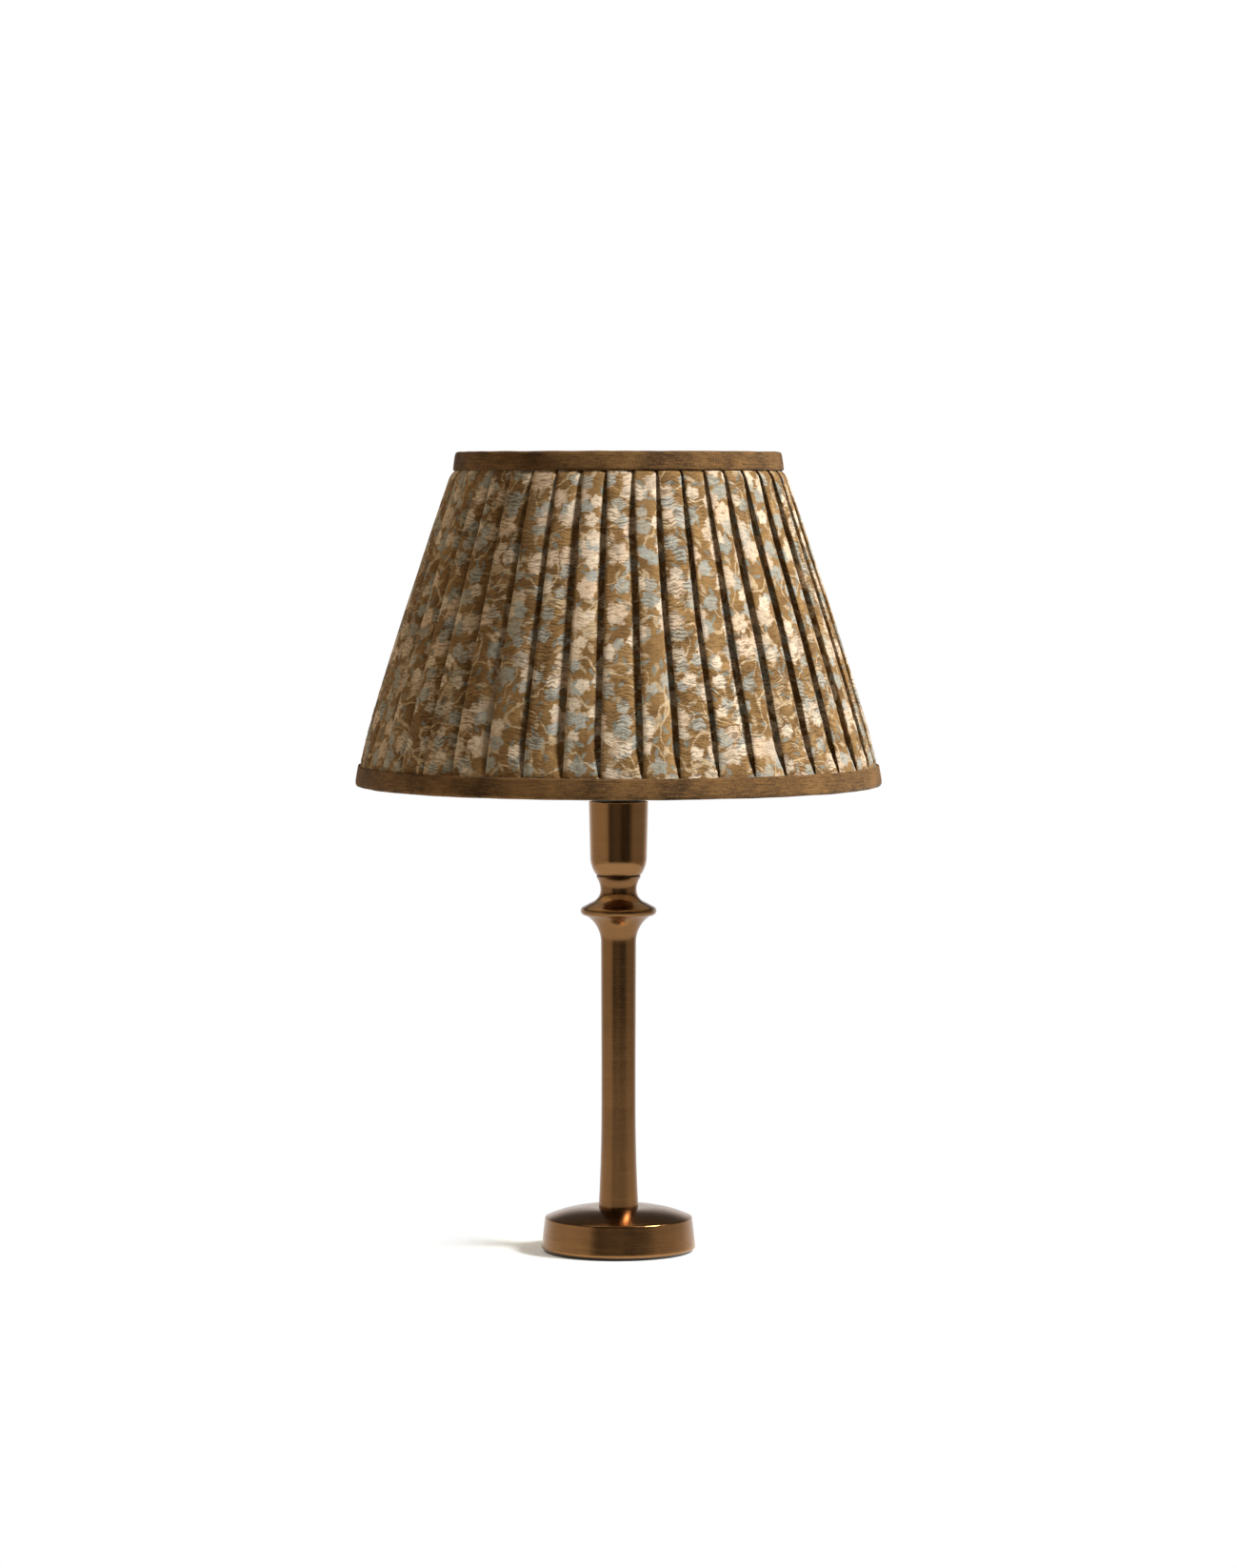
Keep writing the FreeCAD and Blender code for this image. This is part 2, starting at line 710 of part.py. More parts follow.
def wire_ring(label, radius, height):
    """A closed ring of eight-sided wire."""
    corners = []
    for number in range(8):
        turn = math.radians(22.5 + 45 * number)
        across, up = round(math.cos(turn), 5), round(math.sin(turn), 5)
        corners.append((f"({radius} + {across} * frame_wire)", f"({height} + {up} * frame_wire)"))
    turned(label, corners)


def make_spider():
    """The level arms from the carrier ring out to the bottom ring."""
    arms = new_body("spider_arms")
    sketch = new_sketch(arms, "spider_section", "YZ_Plane")
    start = f"({CARRIER_RADIUS} + weld_gap)"
    end = f"({BOTTOM_RING_RADIUS} - frame_wire - weld_gap)"
    draw(sketch, [
        (start, SPIDER),
        (end, SPIDER),
        (end, f"({SPIDER} + spider_wire)"),
        (start, f"({SPIDER} + spider_wire)"),
    ])
    line = sketch.addGeometry(Part.LineSegment(Vector(1, 0, 0), Vector(2, 0, 0)), True)
    for point, text in ((1, start), (2, end)):
        pin_down(sketch, line, point, text, SPIDER)
    turn = arms.newObject("PartDesign::Revolution", "spider_arm")
    turn.Profile = sketch
    turn.ReferenceAxis = (sketch, ["Axis0"])
    turn.Angle = 360.0
    doc.recompute()
    around(arms, turn, ARMS, "spider_star")


def make_struts():
    """The sloping wires that hold the top ring over the bottom ring."""
    run = f"({TOP_RING_RADIUS} - {BOTTOM_RING_RADIUS})"
    rise = f"({TOP_RING} - {SPIDER})"
    length = f"sqrt({run} ^ 2 + {rise} ^ 2)"
    trim = "(frame_wire + weld_gap)"
    low = (f"({BOTTOM_RING_RADIUS} + {run} * {trim} / {length})", f"({SPIDER} + {rise} * {trim} / {length})")
    high = (f"({TOP_RING_RADIUS} - {run} * {trim} / {length})", f"({TOP_RING} - {rise} * {trim} / {length})")
    side = (f"{rise} * strut_wire / {length}", f"{run} * strut_wire / {length}")
    struts = new_body("frame_struts")
    sketch = new_sketch(struts, "strut_section")
    draw(sketch, [
        low,
        (f"({low[0]} + {side[0]})", f"({low[1]} - {side[1]})"),
        (f"({high[0]} + {side[0]})", f"({high[1]} - {side[1]})"),
        high,
    ])
    line = sketch.addGeometry(Part.LineSegment(Vector(1, 0, 0), Vector(2, 1, 0)), True)
    pin_down(sketch, line, 1, *low)
    pin_down(sketch, line, 2, *high)
    turn = struts.newObject("PartDesign::Revolution", "strut")
    turn.Profile = sketch
    turn.ReferenceAxis = (sketch, ["Axis0"])
    turn.Angle = 360.0
    doc.recompute()
    around(struts, turn, STRUTS, "strut_ring")


def make_lining():
    """The inner lining, sewn from flat gores that lie just inside the wire frame."""
    low = f"({SPIDER} + spider_wire + cloth_gap)"
    high = TOP_RING
    slope = f"({TOP_RING_RADIUS} - {BOTTOM_RING_RADIUS}) / ({TOP_RING} - {SPIDER})"
    outer_low = f"({BOTTOM_RING_RADIUS} - frame_wire - cloth_gap + {slope} * ({low} - {SPIDER}))"
    outer_high = f"({TOP_RING_RADIUS} - frame_wire - cloth_gap)"
    gore = new_body("lining")
    wedge = gore.newObject("PartDesign::AdditiveWedge", "lining_gore")
    wedge.AttachmentSupport = [(origin_feature(gore, "YZ_Plane"), "")]
    wedge.MapMode = "FlatFace"
    for end, height, outer in (("", low, outer_low), ("2", high, outer_high)):
        face = f"({outer} * cos({180 / GORES}))"
        half = f"({face} * tan({180 / GORES}) - lining_seam)"
        wedge.setExpression(f"X{end}min", bound(f"0 - {half}"))
        wedge.setExpression(f"X{end}max", bound(half))
        wedge.setExpression(f"Z{end}min", bound(f"{face} - lining_thickness"))
        wedge.setExpression(f"Z{end}max", bound(face))
        wedge.setExpression("Ymax" if end else "Ymin", bound(height))
    doc.recompute()
    around(gore, wedge, GORES, "lining_gores")


def pleat_ring(height, tip, depth):
    """One level of the pleated cover: a crisp fold, a step under it and a soft face."""
    corners = []
    pitch = 2 * math.pi / PLEATS

    def spot(turn, radius):
        angle = math.radians(value("pleat_turn")) - turn * pitch
        return Vector(radius * math.cos(angle), radius * math.sin(angle), height)

    for number in range(PLEATS):
        fold = spot(number, tip)
        tuck = spot(number - 0.07, tip - depth)
        valley = spot(number + 0.06, tip - depth)
        rise = spot(number + 0.34, tip - 0.44 * depth)
        face = spot(number + 0.66, tip - 0.11 * depth)
        corners += [fold, tuck, valley, rise, face]
    corners.reverse()
    return Part.makePolygon(corners + corners[:1])


def bore_ring(height, radius):
    """One level of the cover's inside: flats that touch the radius behind each fold."""
    corners = []
    for number in range(PLEATS + 1):
        angle = (number + 0.47) * 2 * math.pi / PLEATS + math.radians(value("pleat_turn"))
        reach = radius / math.cos(math.pi / PLEATS)
        corners.append(Vector(reach * math.cos(angle), reach * math.sin(angle), height))
    corners[-1] = corners[0]
    return Part.makePolygon(corners)


def make_cover():
    """The knife-pleated cover: a pleated outside lofted level by level, a plain inside."""
    low = value(f"({SHADE_BOTTOM} + 2 * trim_thickness + cloth_gap)")
    high = value(f"({SHADE_TOP} - 2 * trim_thickness - cloth_gap)")
    set_in = value(COVER_SET_IN)
    bottom = value("shade_bottom_radius") - set_in
    top = value("shade_top_radius") - set_in
    first = value(f"({SHADE_BOTTOM} + trim_bottom_width)")
    last = value(f"({SHADE_TOP} - trim_top_width)")
    puff = value("puff_height")
    pressed = value("pleat_pressed_depth")
    deep = value("pleat_depth")
    shallow = value("pleat_top_depth")
    bulge = value("shade_bulge")
    wall = value("cover_thickness")

    def tip_at(height):
        """The folds' radius where the cloth swells out between the two bindings."""
        part = (height - low) / (high - low)
        return bottom + (top - bottom) * part + bulge * math.sin(math.pi * part ** 0.6)

    free = [first + puff + (last - first - 2 * puff) * part for part in (0.0, 0.18, 0.55, 1.0)]
    depths = [0.8 * deep, deep, 0.7 * deep + 0.3 * shallow, shallow]
    levels = [(low, bottom, pressed), (first, bottom - value("trim_bottom_lean"), pressed)]
    levels += [(height, tip_at(height), depth) for height, depth in zip(free, depths)]
    levels += [(last, top + value("trim_top_lean"), pressed), (high, top, pressed)]
    outside = Part.makeLoft([pleat_ring(*level) for level in levels], True, True)
    bores = []
    for height, tip, depth in levels:
        reach = 1.0 if height == high else (-1.0 if height == low else 0.0)
        bores.append(bore_ring(height + reach, tip - depth - wall))
    inside = Part.makeLoft(bores, True, True)
    cover = doc.addObject("Part::Feature", "pleated_cover")
    cover.Label = "pleated_cover"
    cover.Shape = outside.cut(inside)
    made.append(cover)


def make_trims():
    """The two cloth bindings, folded over the ends of the shade."""
    inner_slope = f"(({BOTTOM_RING_RADIUS} - {TOP_RING_RADIUS}) / ({TOP_RING} - {SPIDER}))"
    step = f"(frame_wire + 2 * cloth_gap + lining_thickness + {LINING_SAG})"
    leg = f"({BOTTOM_RING_RADIUS} - {step})"
    leg_top = f"({SHADE_BOTTOM} + trim_inner_width)"
    cap_top = f"({SHADE_BOTTOM} + trim_bottom_width)"
    trim = turned("bottom_trim", [
        (f"({leg} - trim_thickness)", SHADE_BOTTOM),
        ("(shade_bottom_radius - 2 * trim_thickness)", SHADE_BOTTOM),
        ("shade_bottom_radius", f"({SHADE_BOTTOM} + 2 * trim_thickness)"),
        ("(shade_bottom_radius - trim_bottom_lean)", cap_top),
        ("(shade_bottom_radius - trim_bottom_lean - trim_thickness)", cap_top),
        ("(shade_bottom_radius - trim_thickness)", f"({SHADE_BOTTOM} + 2 * trim_thickness)"),
        ("(shade_bottom_radius - 2 * trim_thickness)", f"({SHADE_BOTTOM} + trim_thickness)"),
        (leg, f"({SHADE_BOTTOM} + trim_thickness)"),
        (f"({leg} - {inner_slope} * trim_inner_width)", leg_top),
        (f"({leg} - {inner_slope} * trim_inner_width - trim_thickness)", leg_top),
    ])
    slot = across_hole(trim, "arm_slot", "(spider_wire + cloth_gap / 2)", SPIDER,
                       f"({leg} - 8 * trim_thickness)", f"({BOTTOM_RING_RADIUS} - frame_wire)", "YZ_Plane")
    around(trim, slot, ARMS, "arm_slots")
    roof = SHADE_TOP
    top_leg = f"({TOP_RING_RADIUS} - {step} - {inner_slope} * ({roof} - {TOP_RING}))"
    hem = f"({roof} - trim_top_width)"
    inner_hem = f"({roof} - trim_inner_width)"
    turned("top_trim", [
        (f"({top_leg} - trim_thickness)", roof),
        (f"({top_leg} + {inner_slope} * trim_inner_width - trim_thickness)", inner_hem),
        (f"({top_leg} + {inner_slope} * trim_inner_width)", inner_hem),
        (top_leg, f"({roof} - trim_thickness)"),
        ("(shade_top_radius - 2 * trim_thickness)", f"({roof} - trim_thickness)"),
        ("(shade_top_radius - trim_thickness)", f"({roof} - 2 * trim_thickness)"),
        ("(shade_top_radius + trim_top_lean - trim_thickness)", hem),
        ("(shade_top_radius + trim_top_lean)", hem),
        ("shade_top_radius", f"({roof} - 2 * trim_thickness)"),
        ("(shade_top_radius - 2 * trim_thickness)", roof),
    ])


def check_and_write():
    """Stops on any failed object, then writes each piece to its own file."""
    doc.removeObject(reading.Name)
    doc.recompute()
    for item in doc.Objects:
        if "Invalid" in item.State or "Error" in item.State:
            raise RuntimeError(f"{item.Name} failed: {item.State}")
    for piece in made:
        shape = piece.Shape
        if shape.isNull() or not shape.isValid() or not shape.Solids:
            raise RuntimeError(f"{piece.Label} has no sound solid")
    os.makedirs("parts", exist_ok=True)
    for piece in made:
        piece.Shape.exportStep(f"parts/{piece.Label}.step")
        box = piece.Shape.optimalBoundingBox()
        print(f"{piece.Label:16s} {len(piece.Shape.Solids):3d} solids  {piece.Shape.Volume / 1000:8.2f} cm3  "
              f"z {box.ZMin:7.2f} to {box.ZMax:7.2f}  r {box.XMax:7.2f}")


fill_sheet()
make_pad()
make_foot()
make_inlet_bush()
make_rod()
washer("foot_washer", "washer_radius", f"({ROOF} - washer_thickness)", "washer_thickness")
nut("foot_nut", f"({ROOF} - washer_thickness - nut_height)", "nut_height")
make_column()
make_pan()
washer("cup_washer", "cup_washer_radius", NECK_TOP, "cup_washer_thickness")
make_cup()
nut("cup_nut", CUP_FLOOR, "cup_nut_height")
make_holder()
make_contact()
make_terminals()
make_bulb()
make_filaments()
make_shade_rings()
make_spider()
wire_ring("bottom_ring", BOTTOM_RING_RADIUS, SPIDER)
wire_ring("top_ring", TOP_RING_RADIUS, TOP_RING)
make_struts()
make_lining()
make_cover()
make_trims()
check_and_write()
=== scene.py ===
# %% [markdown]
# A candlestick table lamp with a knife-pleated cloth shade, dressed for a portrait.
# The lamp's construction comes in as a fixed frame: every rigid piece already has its size and place.
# The lesson adds what a frame can't hold: cloth that is folded, bindings that are sewn, and a finish on each surface.

# %% Load the frame
import math
import random

import bmesh
import bpy
from mathutils import Matrix, Vector, noise


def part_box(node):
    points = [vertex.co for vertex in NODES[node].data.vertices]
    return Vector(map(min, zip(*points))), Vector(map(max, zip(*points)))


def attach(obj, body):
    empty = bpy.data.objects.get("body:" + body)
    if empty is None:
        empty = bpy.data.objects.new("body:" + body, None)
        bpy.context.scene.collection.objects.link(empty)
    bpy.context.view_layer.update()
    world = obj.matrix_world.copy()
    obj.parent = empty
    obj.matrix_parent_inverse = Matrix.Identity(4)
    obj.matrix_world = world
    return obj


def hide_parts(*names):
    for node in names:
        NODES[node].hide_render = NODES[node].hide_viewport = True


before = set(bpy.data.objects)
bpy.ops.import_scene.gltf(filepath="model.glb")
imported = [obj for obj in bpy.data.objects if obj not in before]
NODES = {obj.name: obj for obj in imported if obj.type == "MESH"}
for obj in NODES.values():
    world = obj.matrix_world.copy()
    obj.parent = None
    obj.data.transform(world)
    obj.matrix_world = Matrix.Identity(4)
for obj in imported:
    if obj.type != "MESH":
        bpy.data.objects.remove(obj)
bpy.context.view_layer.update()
MM = 0.001
random.seed(11)

# %% [markdown]
# The camera comes first, because each later choice is judged through it.
# The photograph is taken from about three metres with a long lens, a little above the lamp's middle and tipped down.
# A long lens keeps the shade's two rims nearly straight, so its length and tilt are set from how far those rims bow.

# %% Place the camera
CAMERA_DISTANCE = 2.930
CAMERA_HEIGHT = 0.435
TIPPED_DOWN = math.radians(3.274)
LENS = 118.3

camera_data = bpy.data.cameras.new("portrait_camera")
camera = bpy.data.objects.new("portrait_camera", camera_data)
bpy.context.scene.collection.objects.link(camera)
camera.location = (0.0, -CAMERA_DISTANCE, CAMERA_HEIGHT)
camera.rotation_euler = (math.radians(90) - TIPPED_DOWN, 0.0, 0.0)
camera_data.sensor_width = 36.0
camera_data.lens = LENS
camera_data.clip_end = 60.0
bpy.context.scene.camera = camera
bpy.context.scene.view_settings.view_transform = "Standard"
print("camera at", tuple(round(part, 3) for part in camera.location))

# %% [markdown]
# Materials are written as sums. A small class wraps one socket, so that "1 - mask" adds the Math node by itself.
# The other way, a long list of node and link calls, hides the idea of a finish behind its wiring.

# %% A class for shader sums
class Field:
    """A number that changes over a surface or a view, with the usual signs of arithmetic."""

    def __init__(self, wiring, socket):
        self.wiring = wiring
        self.socket = socket

    def join(self, operation, *others):
        """This number and the others, joined by a Math node."""
        node = self.wiring.node("ShaderNodeMath", {"operation": operation}, [self, *others])
        return Field(self.wiring, node.outputs[0])

    def __add__(self, other):
        return self.join("ADD", other)

    def __sub__(self, other):
        return self.join("SUBTRACT", other)

    def __mul__(self, other):
        return self.join("MULTIPLY", other)

    def __truediv__(self, other):
        return self.join("DIVIDE", other)

    def __pow__(self, other):
        return self.join("POWER", other)

    def __rsub__(self, other):
        return self.wiring.number(other).join("SUBTRACT", self)

    def __rtruediv__(self, other):
        return self.wiring.number(other).join("DIVIDE", self)

    __radd__ = __add__
    __rmul__ = __mul__

    def sine(self):
        return self.join("SINE")

    def size(self):
        return self.join("ABSOLUTE")

    def most(self, other):
        return self.join("MAXIMUM", other)

    def least(self, other):
        return self.join("MINIMUM", other)

    def ramp(self, low, high):
        """0 below low, 1 above high, and a soft step between."""
        settings = {"interpolation_type": "SMOOTHSTEP"}
        node = self.wiring.node("ShaderNodeMapRange", settings, {"Value": self, "From Min": low, "From Max": high})
        return Field(self.wiring, node.outputs["Result"])


print("sockets can be added, taken away, multiplied and divided")

# %% [markdown]
# Every other node comes from one method that takes its type, its settings and what goes into its sockets.
# It works on any node tree, so the world round the lamp can use it as well as a material.

# %% A class for one tree of nodes
class Wiring:
    """A tree of nodes, with short ways to make, feed and mix them."""

    def __init__(self, tree):
        self.tree = tree

    def node(self, kind, settings=None, inputs=None):
        """One node: its type, its settings, and values or links for its sockets, in order or by name."""
        node = self.tree.nodes.new(kind)
        for key, value in (settings or {}).items():
            if key == "stops":
                self.set_stops(node.color_ramp, value)
            else:
                setattr(node, key, value)
        pairs = enumerate(inputs) if isinstance(inputs, (list, tuple)) else (inputs or {}).items()
        for key, value in pairs:
            self.feed(node.inputs[key], value)
        return node

    def set_stops(self, color_ramp, stops):
        """Gives a colour ramp its stops, each a position and a colour."""
        while len(color_ramp.elements) > 1:
            color_ramp.elements.remove(color_ramp.elements[-1])
        color_ramp.elements[0].position = stops[0][0]
        color_ramp.elements[0].color = (*stops[0][1], 1.0)
        for position, colour in stops[1:]:
            color_ramp.elements.new(position).color = (*colour, 1.0)

    def feed(self, socket, value):
        """Links a socket to another, or sets its value."""
        if isinstance(value, Field):
            value = value.socket
        if isinstance(value, bpy.types.NodeSocket):
            self.tree.links.new(value, socket)
        elif socket.type == "RGBA" and len(value) == 3:
            socket.default_value = (*value, 1.0)
        else:
            socket.default_value = value

    def number(self, value):
        """A plain number as a Field, for sums that start with one."""
        node = self.node("ShaderNodeValue")
        node.outputs[0].default_value = value
        return Field(self, node.outputs[0])

    def parts(self, vector):
        """The three numbers of a vector or a colour."""
        node = self.node("ShaderNodeSeparateXYZ", {}, [vector])
        return tuple(Field(self, node.outputs[n]) for n in range(3))

    def cloud(self, place, scale=1.0, detail=3.0, rough=0.55, bend=0.0):
        """Soft noise between 0 and 1."""
        inputs = {"Vector": place, "Scale": scale, "Detail": detail, "Roughness": rough, "Distortion": bend}
        return Field(self, self.node("ShaderNodeTexNoise", {}, inputs).outputs["Fac"])

    def vector(self, operation, first, second):
        """A sum of vectors: ADD and SUBTRACT take two vectors, SCALE takes a vector and a number."""
        inputs = {0: first, 3: second} if operation == "SCALE" else {0: first, 1: second}
        return self.node("ShaderNodeVectorMath", {"operation": operation}, inputs).outputs[0]

    def mix(self, factor, first, second, blend="MIX"):
        """Two colours mixed. A Mix node keeps its colours in sockets 6 and 7, and the mixed one in output 2."""
        settings = {"data_type": "RGBA", "blend_type": blend}
        return self.node("ShaderNodeMix", settings, {0: factor, 6: first, 7: second}).outputs[2]

    def stops(self, field, stops):
        """A colour that runs through the given stops as the field grows."""
        return self.node("ShaderNodeValToRGB", {"stops": stops}, [field]).outputs[0]


print("nodes can be made, fed and mixed")

# %% [markdown]
# A finish is a tree of nodes with a Principled shader at its end. What is the same all over a surface is set on
# the shader itself. What changes is worked out from where a point lies on the lamp, or on a piece's own flat cloth.

# %% A class for one finish
class Finish(Wiring):
    """One material, with its constants, its bump and its painted sockets."""

    def __init__(self, name, **constants):
        self.material = bpy.data.materials.new(name)
        self.material.use_nodes = True
        super().__init__(self.material.node_tree)
        self.shader = self.tree.nodes["Principled BSDF"]
        self.paint(**constants)

    def place(self, scale=(1, 1, 1), shift=(0, 0, 0), turn=(0, 0, 0), cloth=None):
        """Where a point lies: on the lamp, or on the piece's flat cloth where its pattern is named."""
        if cloth:
            source = self.node("ShaderNodeUVMap", {"uv_map": cloth}).outputs[0]
        else:
            source = self.node("ShaderNodeTexCoord").outputs["Object"]
        inputs = {"Vector": source, "Location": shift, "Rotation": turn, "Scale": scale}
        return self.node("ShaderNodeMapping", {}, inputs).outputs[0]

    def emboss(self, height, distance):
        """Raises the surface by its height, over a distance in metres."""
        bump = self.node("ShaderNodeBump", {}, {"Height": height, "Distance": distance, "Strength": 1.0})
        self.feed(self.shader.inputs["Normal"], bump.outputs[0])

    def paint(self, **inputs):
        """Feeds the shader's sockets, with _ for the spaces in their names."""
        for socket, value in inputs.items():
            self.feed(self.shader.inputs[socket.replace("_", " ")], value)
        return self.material


print("finishes are ready to be mixed")

# %% [markdown]
# The lamp stands on a small pale floor inside a white surround, as in a studio.
# The floor could be lit until it burns out, but that would bleach the lamp as well.
# Instead it adds white of its own, which the camera sees, straight or in metal and glass.
# Close to the foot it adds little of it, so that the lamp's shadow stays.

# %% White floor
WHITE = (1.0, 1.0, 1.0)
FLOOR_RADIUS = 0.6
FLOOR_TONE = (0.91, 0.97, 1.0)
SHADOW_ZONE = (0.062, 0.115)
LEAST_GLOW = 0.20


def as_piece(mesh, name, material=None):
    """Turns a bmesh into an object that sits unturned at the origin, with its finish."""
    data = bpy.data.meshes.new(name)
    mesh.to_mesh(data)
    mesh.free()
    if material:
        data.materials.append(material)
    piece = bpy.data.objects.new(name, data)
    bpy.context.scene.collection.objects.link(piece)
    return piece


floor_finish = Finish("floor_white", Roughness=0.9, Specular_IOR_Level=0.0, Base_Color=FLOOR_TONE)
seen = floor_finish.node("ShaderNodeLightPath").outputs
rays = Field(floor_finish, seen["Is Camera Ray"]) + seen["Is Glossy Ray"] + seen["Is Transmission Ray"]
across_floor, along_floor, _ = floor_finish.parts(floor_finish.place())
from_axis = (across_floor * across_floor + along_floor * along_floor) ** 0.5
glow_share = rays.least(1.0) * (from_axis.ramp(*SHADOW_ZONE) * (1 - LEAST_GLOW) + LEAST_GLOW)
glow = floor_finish.node("ShaderNodeEmission", {}, {"Color": WHITE, "Strength": 1.0})
surface = floor_finish.node("ShaderNodeMixShader", {}, [glow_share, floor_finish.shader.outputs[0], glow.outputs[0]])
floor_finish.feed(floor_finish.tree.nodes["Material Output"].inputs["Surface"], surface.outputs[0])

floor_mesh = bmesh.new()
bmesh.ops.create_circle(floor_mesh, cap_ends=True, segments=96, radius=FLOOR_RADIUS)
as_piece(floor_mesh, "studio_floor", floor_finish.material)
print("white floor of", FLOOR_RADIUS, "m")

# %% [markdown]
# Metal has no pattern of its own to show: it shows the room. Lamps alone would leave it black with a few hot spots.
# So the surround is a room of soft walls, told by their bearing. It is dark on the camera's side and pale elsewhere,
# and the borders between the walls draw the long bands on the column and the cup.
# The camera sees plain white, and metal and glass see that white behind the lamp. Cloth gets the walls' light, warmer.

# %% White surround
# Bearings in degrees, 0 at the camera, 180 behind the lamp and negative on the left, each with its wall's light.
ROOM = (
    (-180, 0.62), (-150, 0.66), (-60, 0.64), (-44, 0.56), (-38, 0.12), (-25, 0.10), (-18, 0.16), (6, 0.15),
    (12, 0.06), (44, 0.07), (62, 0.38), (112, 0.40), (150, 0.55), (180, 0.62),
)
WALL_TINT = (1.0, 0.95, 0.88)
CLOTH_LIGHT = (0.98, 0.80, 0.58)
BACKDROP = (math.radians(118), math.radians(150))
DARK_ABOVE = (0.10, 0.42)
DARKEST = 0.85

world = bpy.data.worlds.new("studio_world")
world.use_nodes = True
bpy.context.scene.world = world
surround = Wiring(world.node_tree)
sight = {name: Field(surround, socket) for name, socket in surround.node("ShaderNodeLightPath").outputs.items()}
to_right, to_back, upward = surround.parts(surround.node("ShaderNodeTexCoord").outputs["Generated"])
bearing = to_right.join("ARCTAN2", to_back * -1.0)
whole_turn = {"Value": bearing, "From Min": -math.pi, "From Max": math.pi}
around_room = surround.node("ShaderNodeMapRange", {}, whole_turn).outputs["Result"]
walls = surround.stops(around_room, [
    (degrees / 360 + 0.5, tuple(light * tint for tint in WALL_TINT)) for degrees, light in ROOM])

mirrored = sight["Is Glossy Ray"].most(sight["Is Transmission Ray"])
overhead = upward.ramp(*DARK_ABOVE)
behind_lamp = bearing.size().ramp(*BACKDROP) * (1 - overhead)
white_share = sight["Is Camera Ray"].most(behind_lamp * mirrored)
warm_walls = surround.mix(1.0, walls, CLOTH_LIGHT, "MULTIPLY")
mirrored_walls = surround.mix(overhead * DARKEST, walls, (0.0, 0.0, 0.0))
room = surround.mix(mirrored, warm_walls, mirrored_walls)
surround.feed(world.node_tree.nodes["Background"].inputs["Color"], surround.mix(white_share, room, WHITE))
print("surround with", len(ROOM), "levels of light")

# %% [markdown]
# One large soft lamp stands at the right, a little in front and high up, so the shade keeps it off the cup and the pan.
# It lights the faces of the pleats and leaves the far walls of the grooves dark, which is what makes pleats read.
# A second lamp on the left would flatten them, so the soft walls alone light that side, and it stays in a warm shade.

# %% Studio lamp
KEY_PLACE = Vector((2.00, -0.78, 2.15))
KEY_TARGET = Vector((0.0, 0.0, 0.30))

key_light = bpy.data.lights.new("key_lamp", "AREA")
key_light.size = 0.8
key_light.energy = 146.0
key_light.color = (1.0, 0.985, 0.96)
key_lamp = bpy.data.objects.new("key_lamp", key_light)
bpy.context.scene.collection.objects.link(key_lamp)
key_lamp.location = KEY_PLACE
key_lamp.rotation_euler = (KEY_TARGET - KEY_PLACE).to_track_quat("-Z", "Y").to_euler()
print("key lamp of", key_light.energy, "W")

# %% [markdown]
# The rigid pieces of the frame could be modelled again, but their shapes are right, so they keep their own meshes.
# They only need a finish, and one helper hands it to them by name.

# %% Dress the rigid pieces
def dress(material, *names):
    """Gives one finish to rigid pieces of the frame."""
    for name in names:
        NODES[name].data.materials.clear()
        NODES[name].data.materials.append(material)


print(len(NODES), "pieces in the frame, rigid but for the cloth")

# %% [markdown]
# The metal is brass, darkened to bronze, brushed on the lathe and lacquered.
# Brushing on a turned piece runs round it, so the noise is stretched far more round the axis than along it.
# It feeds roughness and a fine bump. Larger clouds change the tone, as handling and uneven darkening do.

# %% Bronze finishes
def toned(tone, share):
    """The same tone, darker for a share under 1 and paler for one over it."""
    return tuple(min(1.0, part * share) for part in tone)


def bronze(name, tone, dull, streak=1.0, cloudy=1.0, pitted=1.0):
    """Satin bronze, brushed round the lamp's axis over the faint peel of its casting."""
    finish = Finish(name, Metallic=1.0)
    fine = finish.cloud(finish.place(scale=(60, 60, 2600)), 1.0, 3.0, 0.6)
    broad = finish.cloud(finish.place(scale=(14, 14, 260)), 1.0, 2.0, 0.5)
    cloud = finish.cloud(finish.place(scale=(34, 34, 20)), 1.0, 4.0, 0.6)
    fleck = finish.cloud(finish.place(scale=(420, 420, 420)), 1.0, 3.0, 0.65)
    peel = finish.cloud(finish.place(scale=(1100, 1100, 1100)), 1.0, 1.0, 0.5)
    tint = (fine - 0.5) * 0.35 * streak + (broad - 0.5) * 0.40 * streak + (cloud - 0.5) * 0.9 * cloudy + 0.5
    colour = finish.stops(tint, [(0.15, toned(tone, 0.72)), (0.5, tone), (0.85, toned(tone, 1.24))])
    rough = dull + (fine - 0.5) * 0.16 + (cloud - 0.5) * 0.14 + (fleck - 0.5) * 0.08
    finish.emboss(fine * 0.5 * streak + broad * 0.4 * streak + fleck * 0.12 * pitted + peel * 0.08 * pitted, 0.00005)
    return finish.paint(Base_Color=colour, Roughness=rough)


BRONZE = (0.292, 0.147, 0.057)
# Painted shade: the column and the drip pan get darker copies of the cup's bronze, for the dimmer light they get under
# the shade.
dress(bronze("bronze_column_painted_shade", toned(BRONZE, 0.84), 0.24, streak=0.7), "column")
dress(bronze("bronze_cup", BRONZE, 0.17, cloudy=0.6, pitted=0.3), "candle_cup")
dress(bronze("bronze_pan_painted_shade", toned(BRONZE, 0.80), 0.20, cloudy=0.8, pitted=0.5), "drip_pan")
FOOT_BRONZE = bronze("bronze_foot", BRONZE, 0.20, streak=1.3, cloudy=1.0, pitted=0.6)
dress(bronze("bronze_seam", toned(BRONZE, 0.35), 0.5), "cup_washer")
print("bronze finishes on the stem")

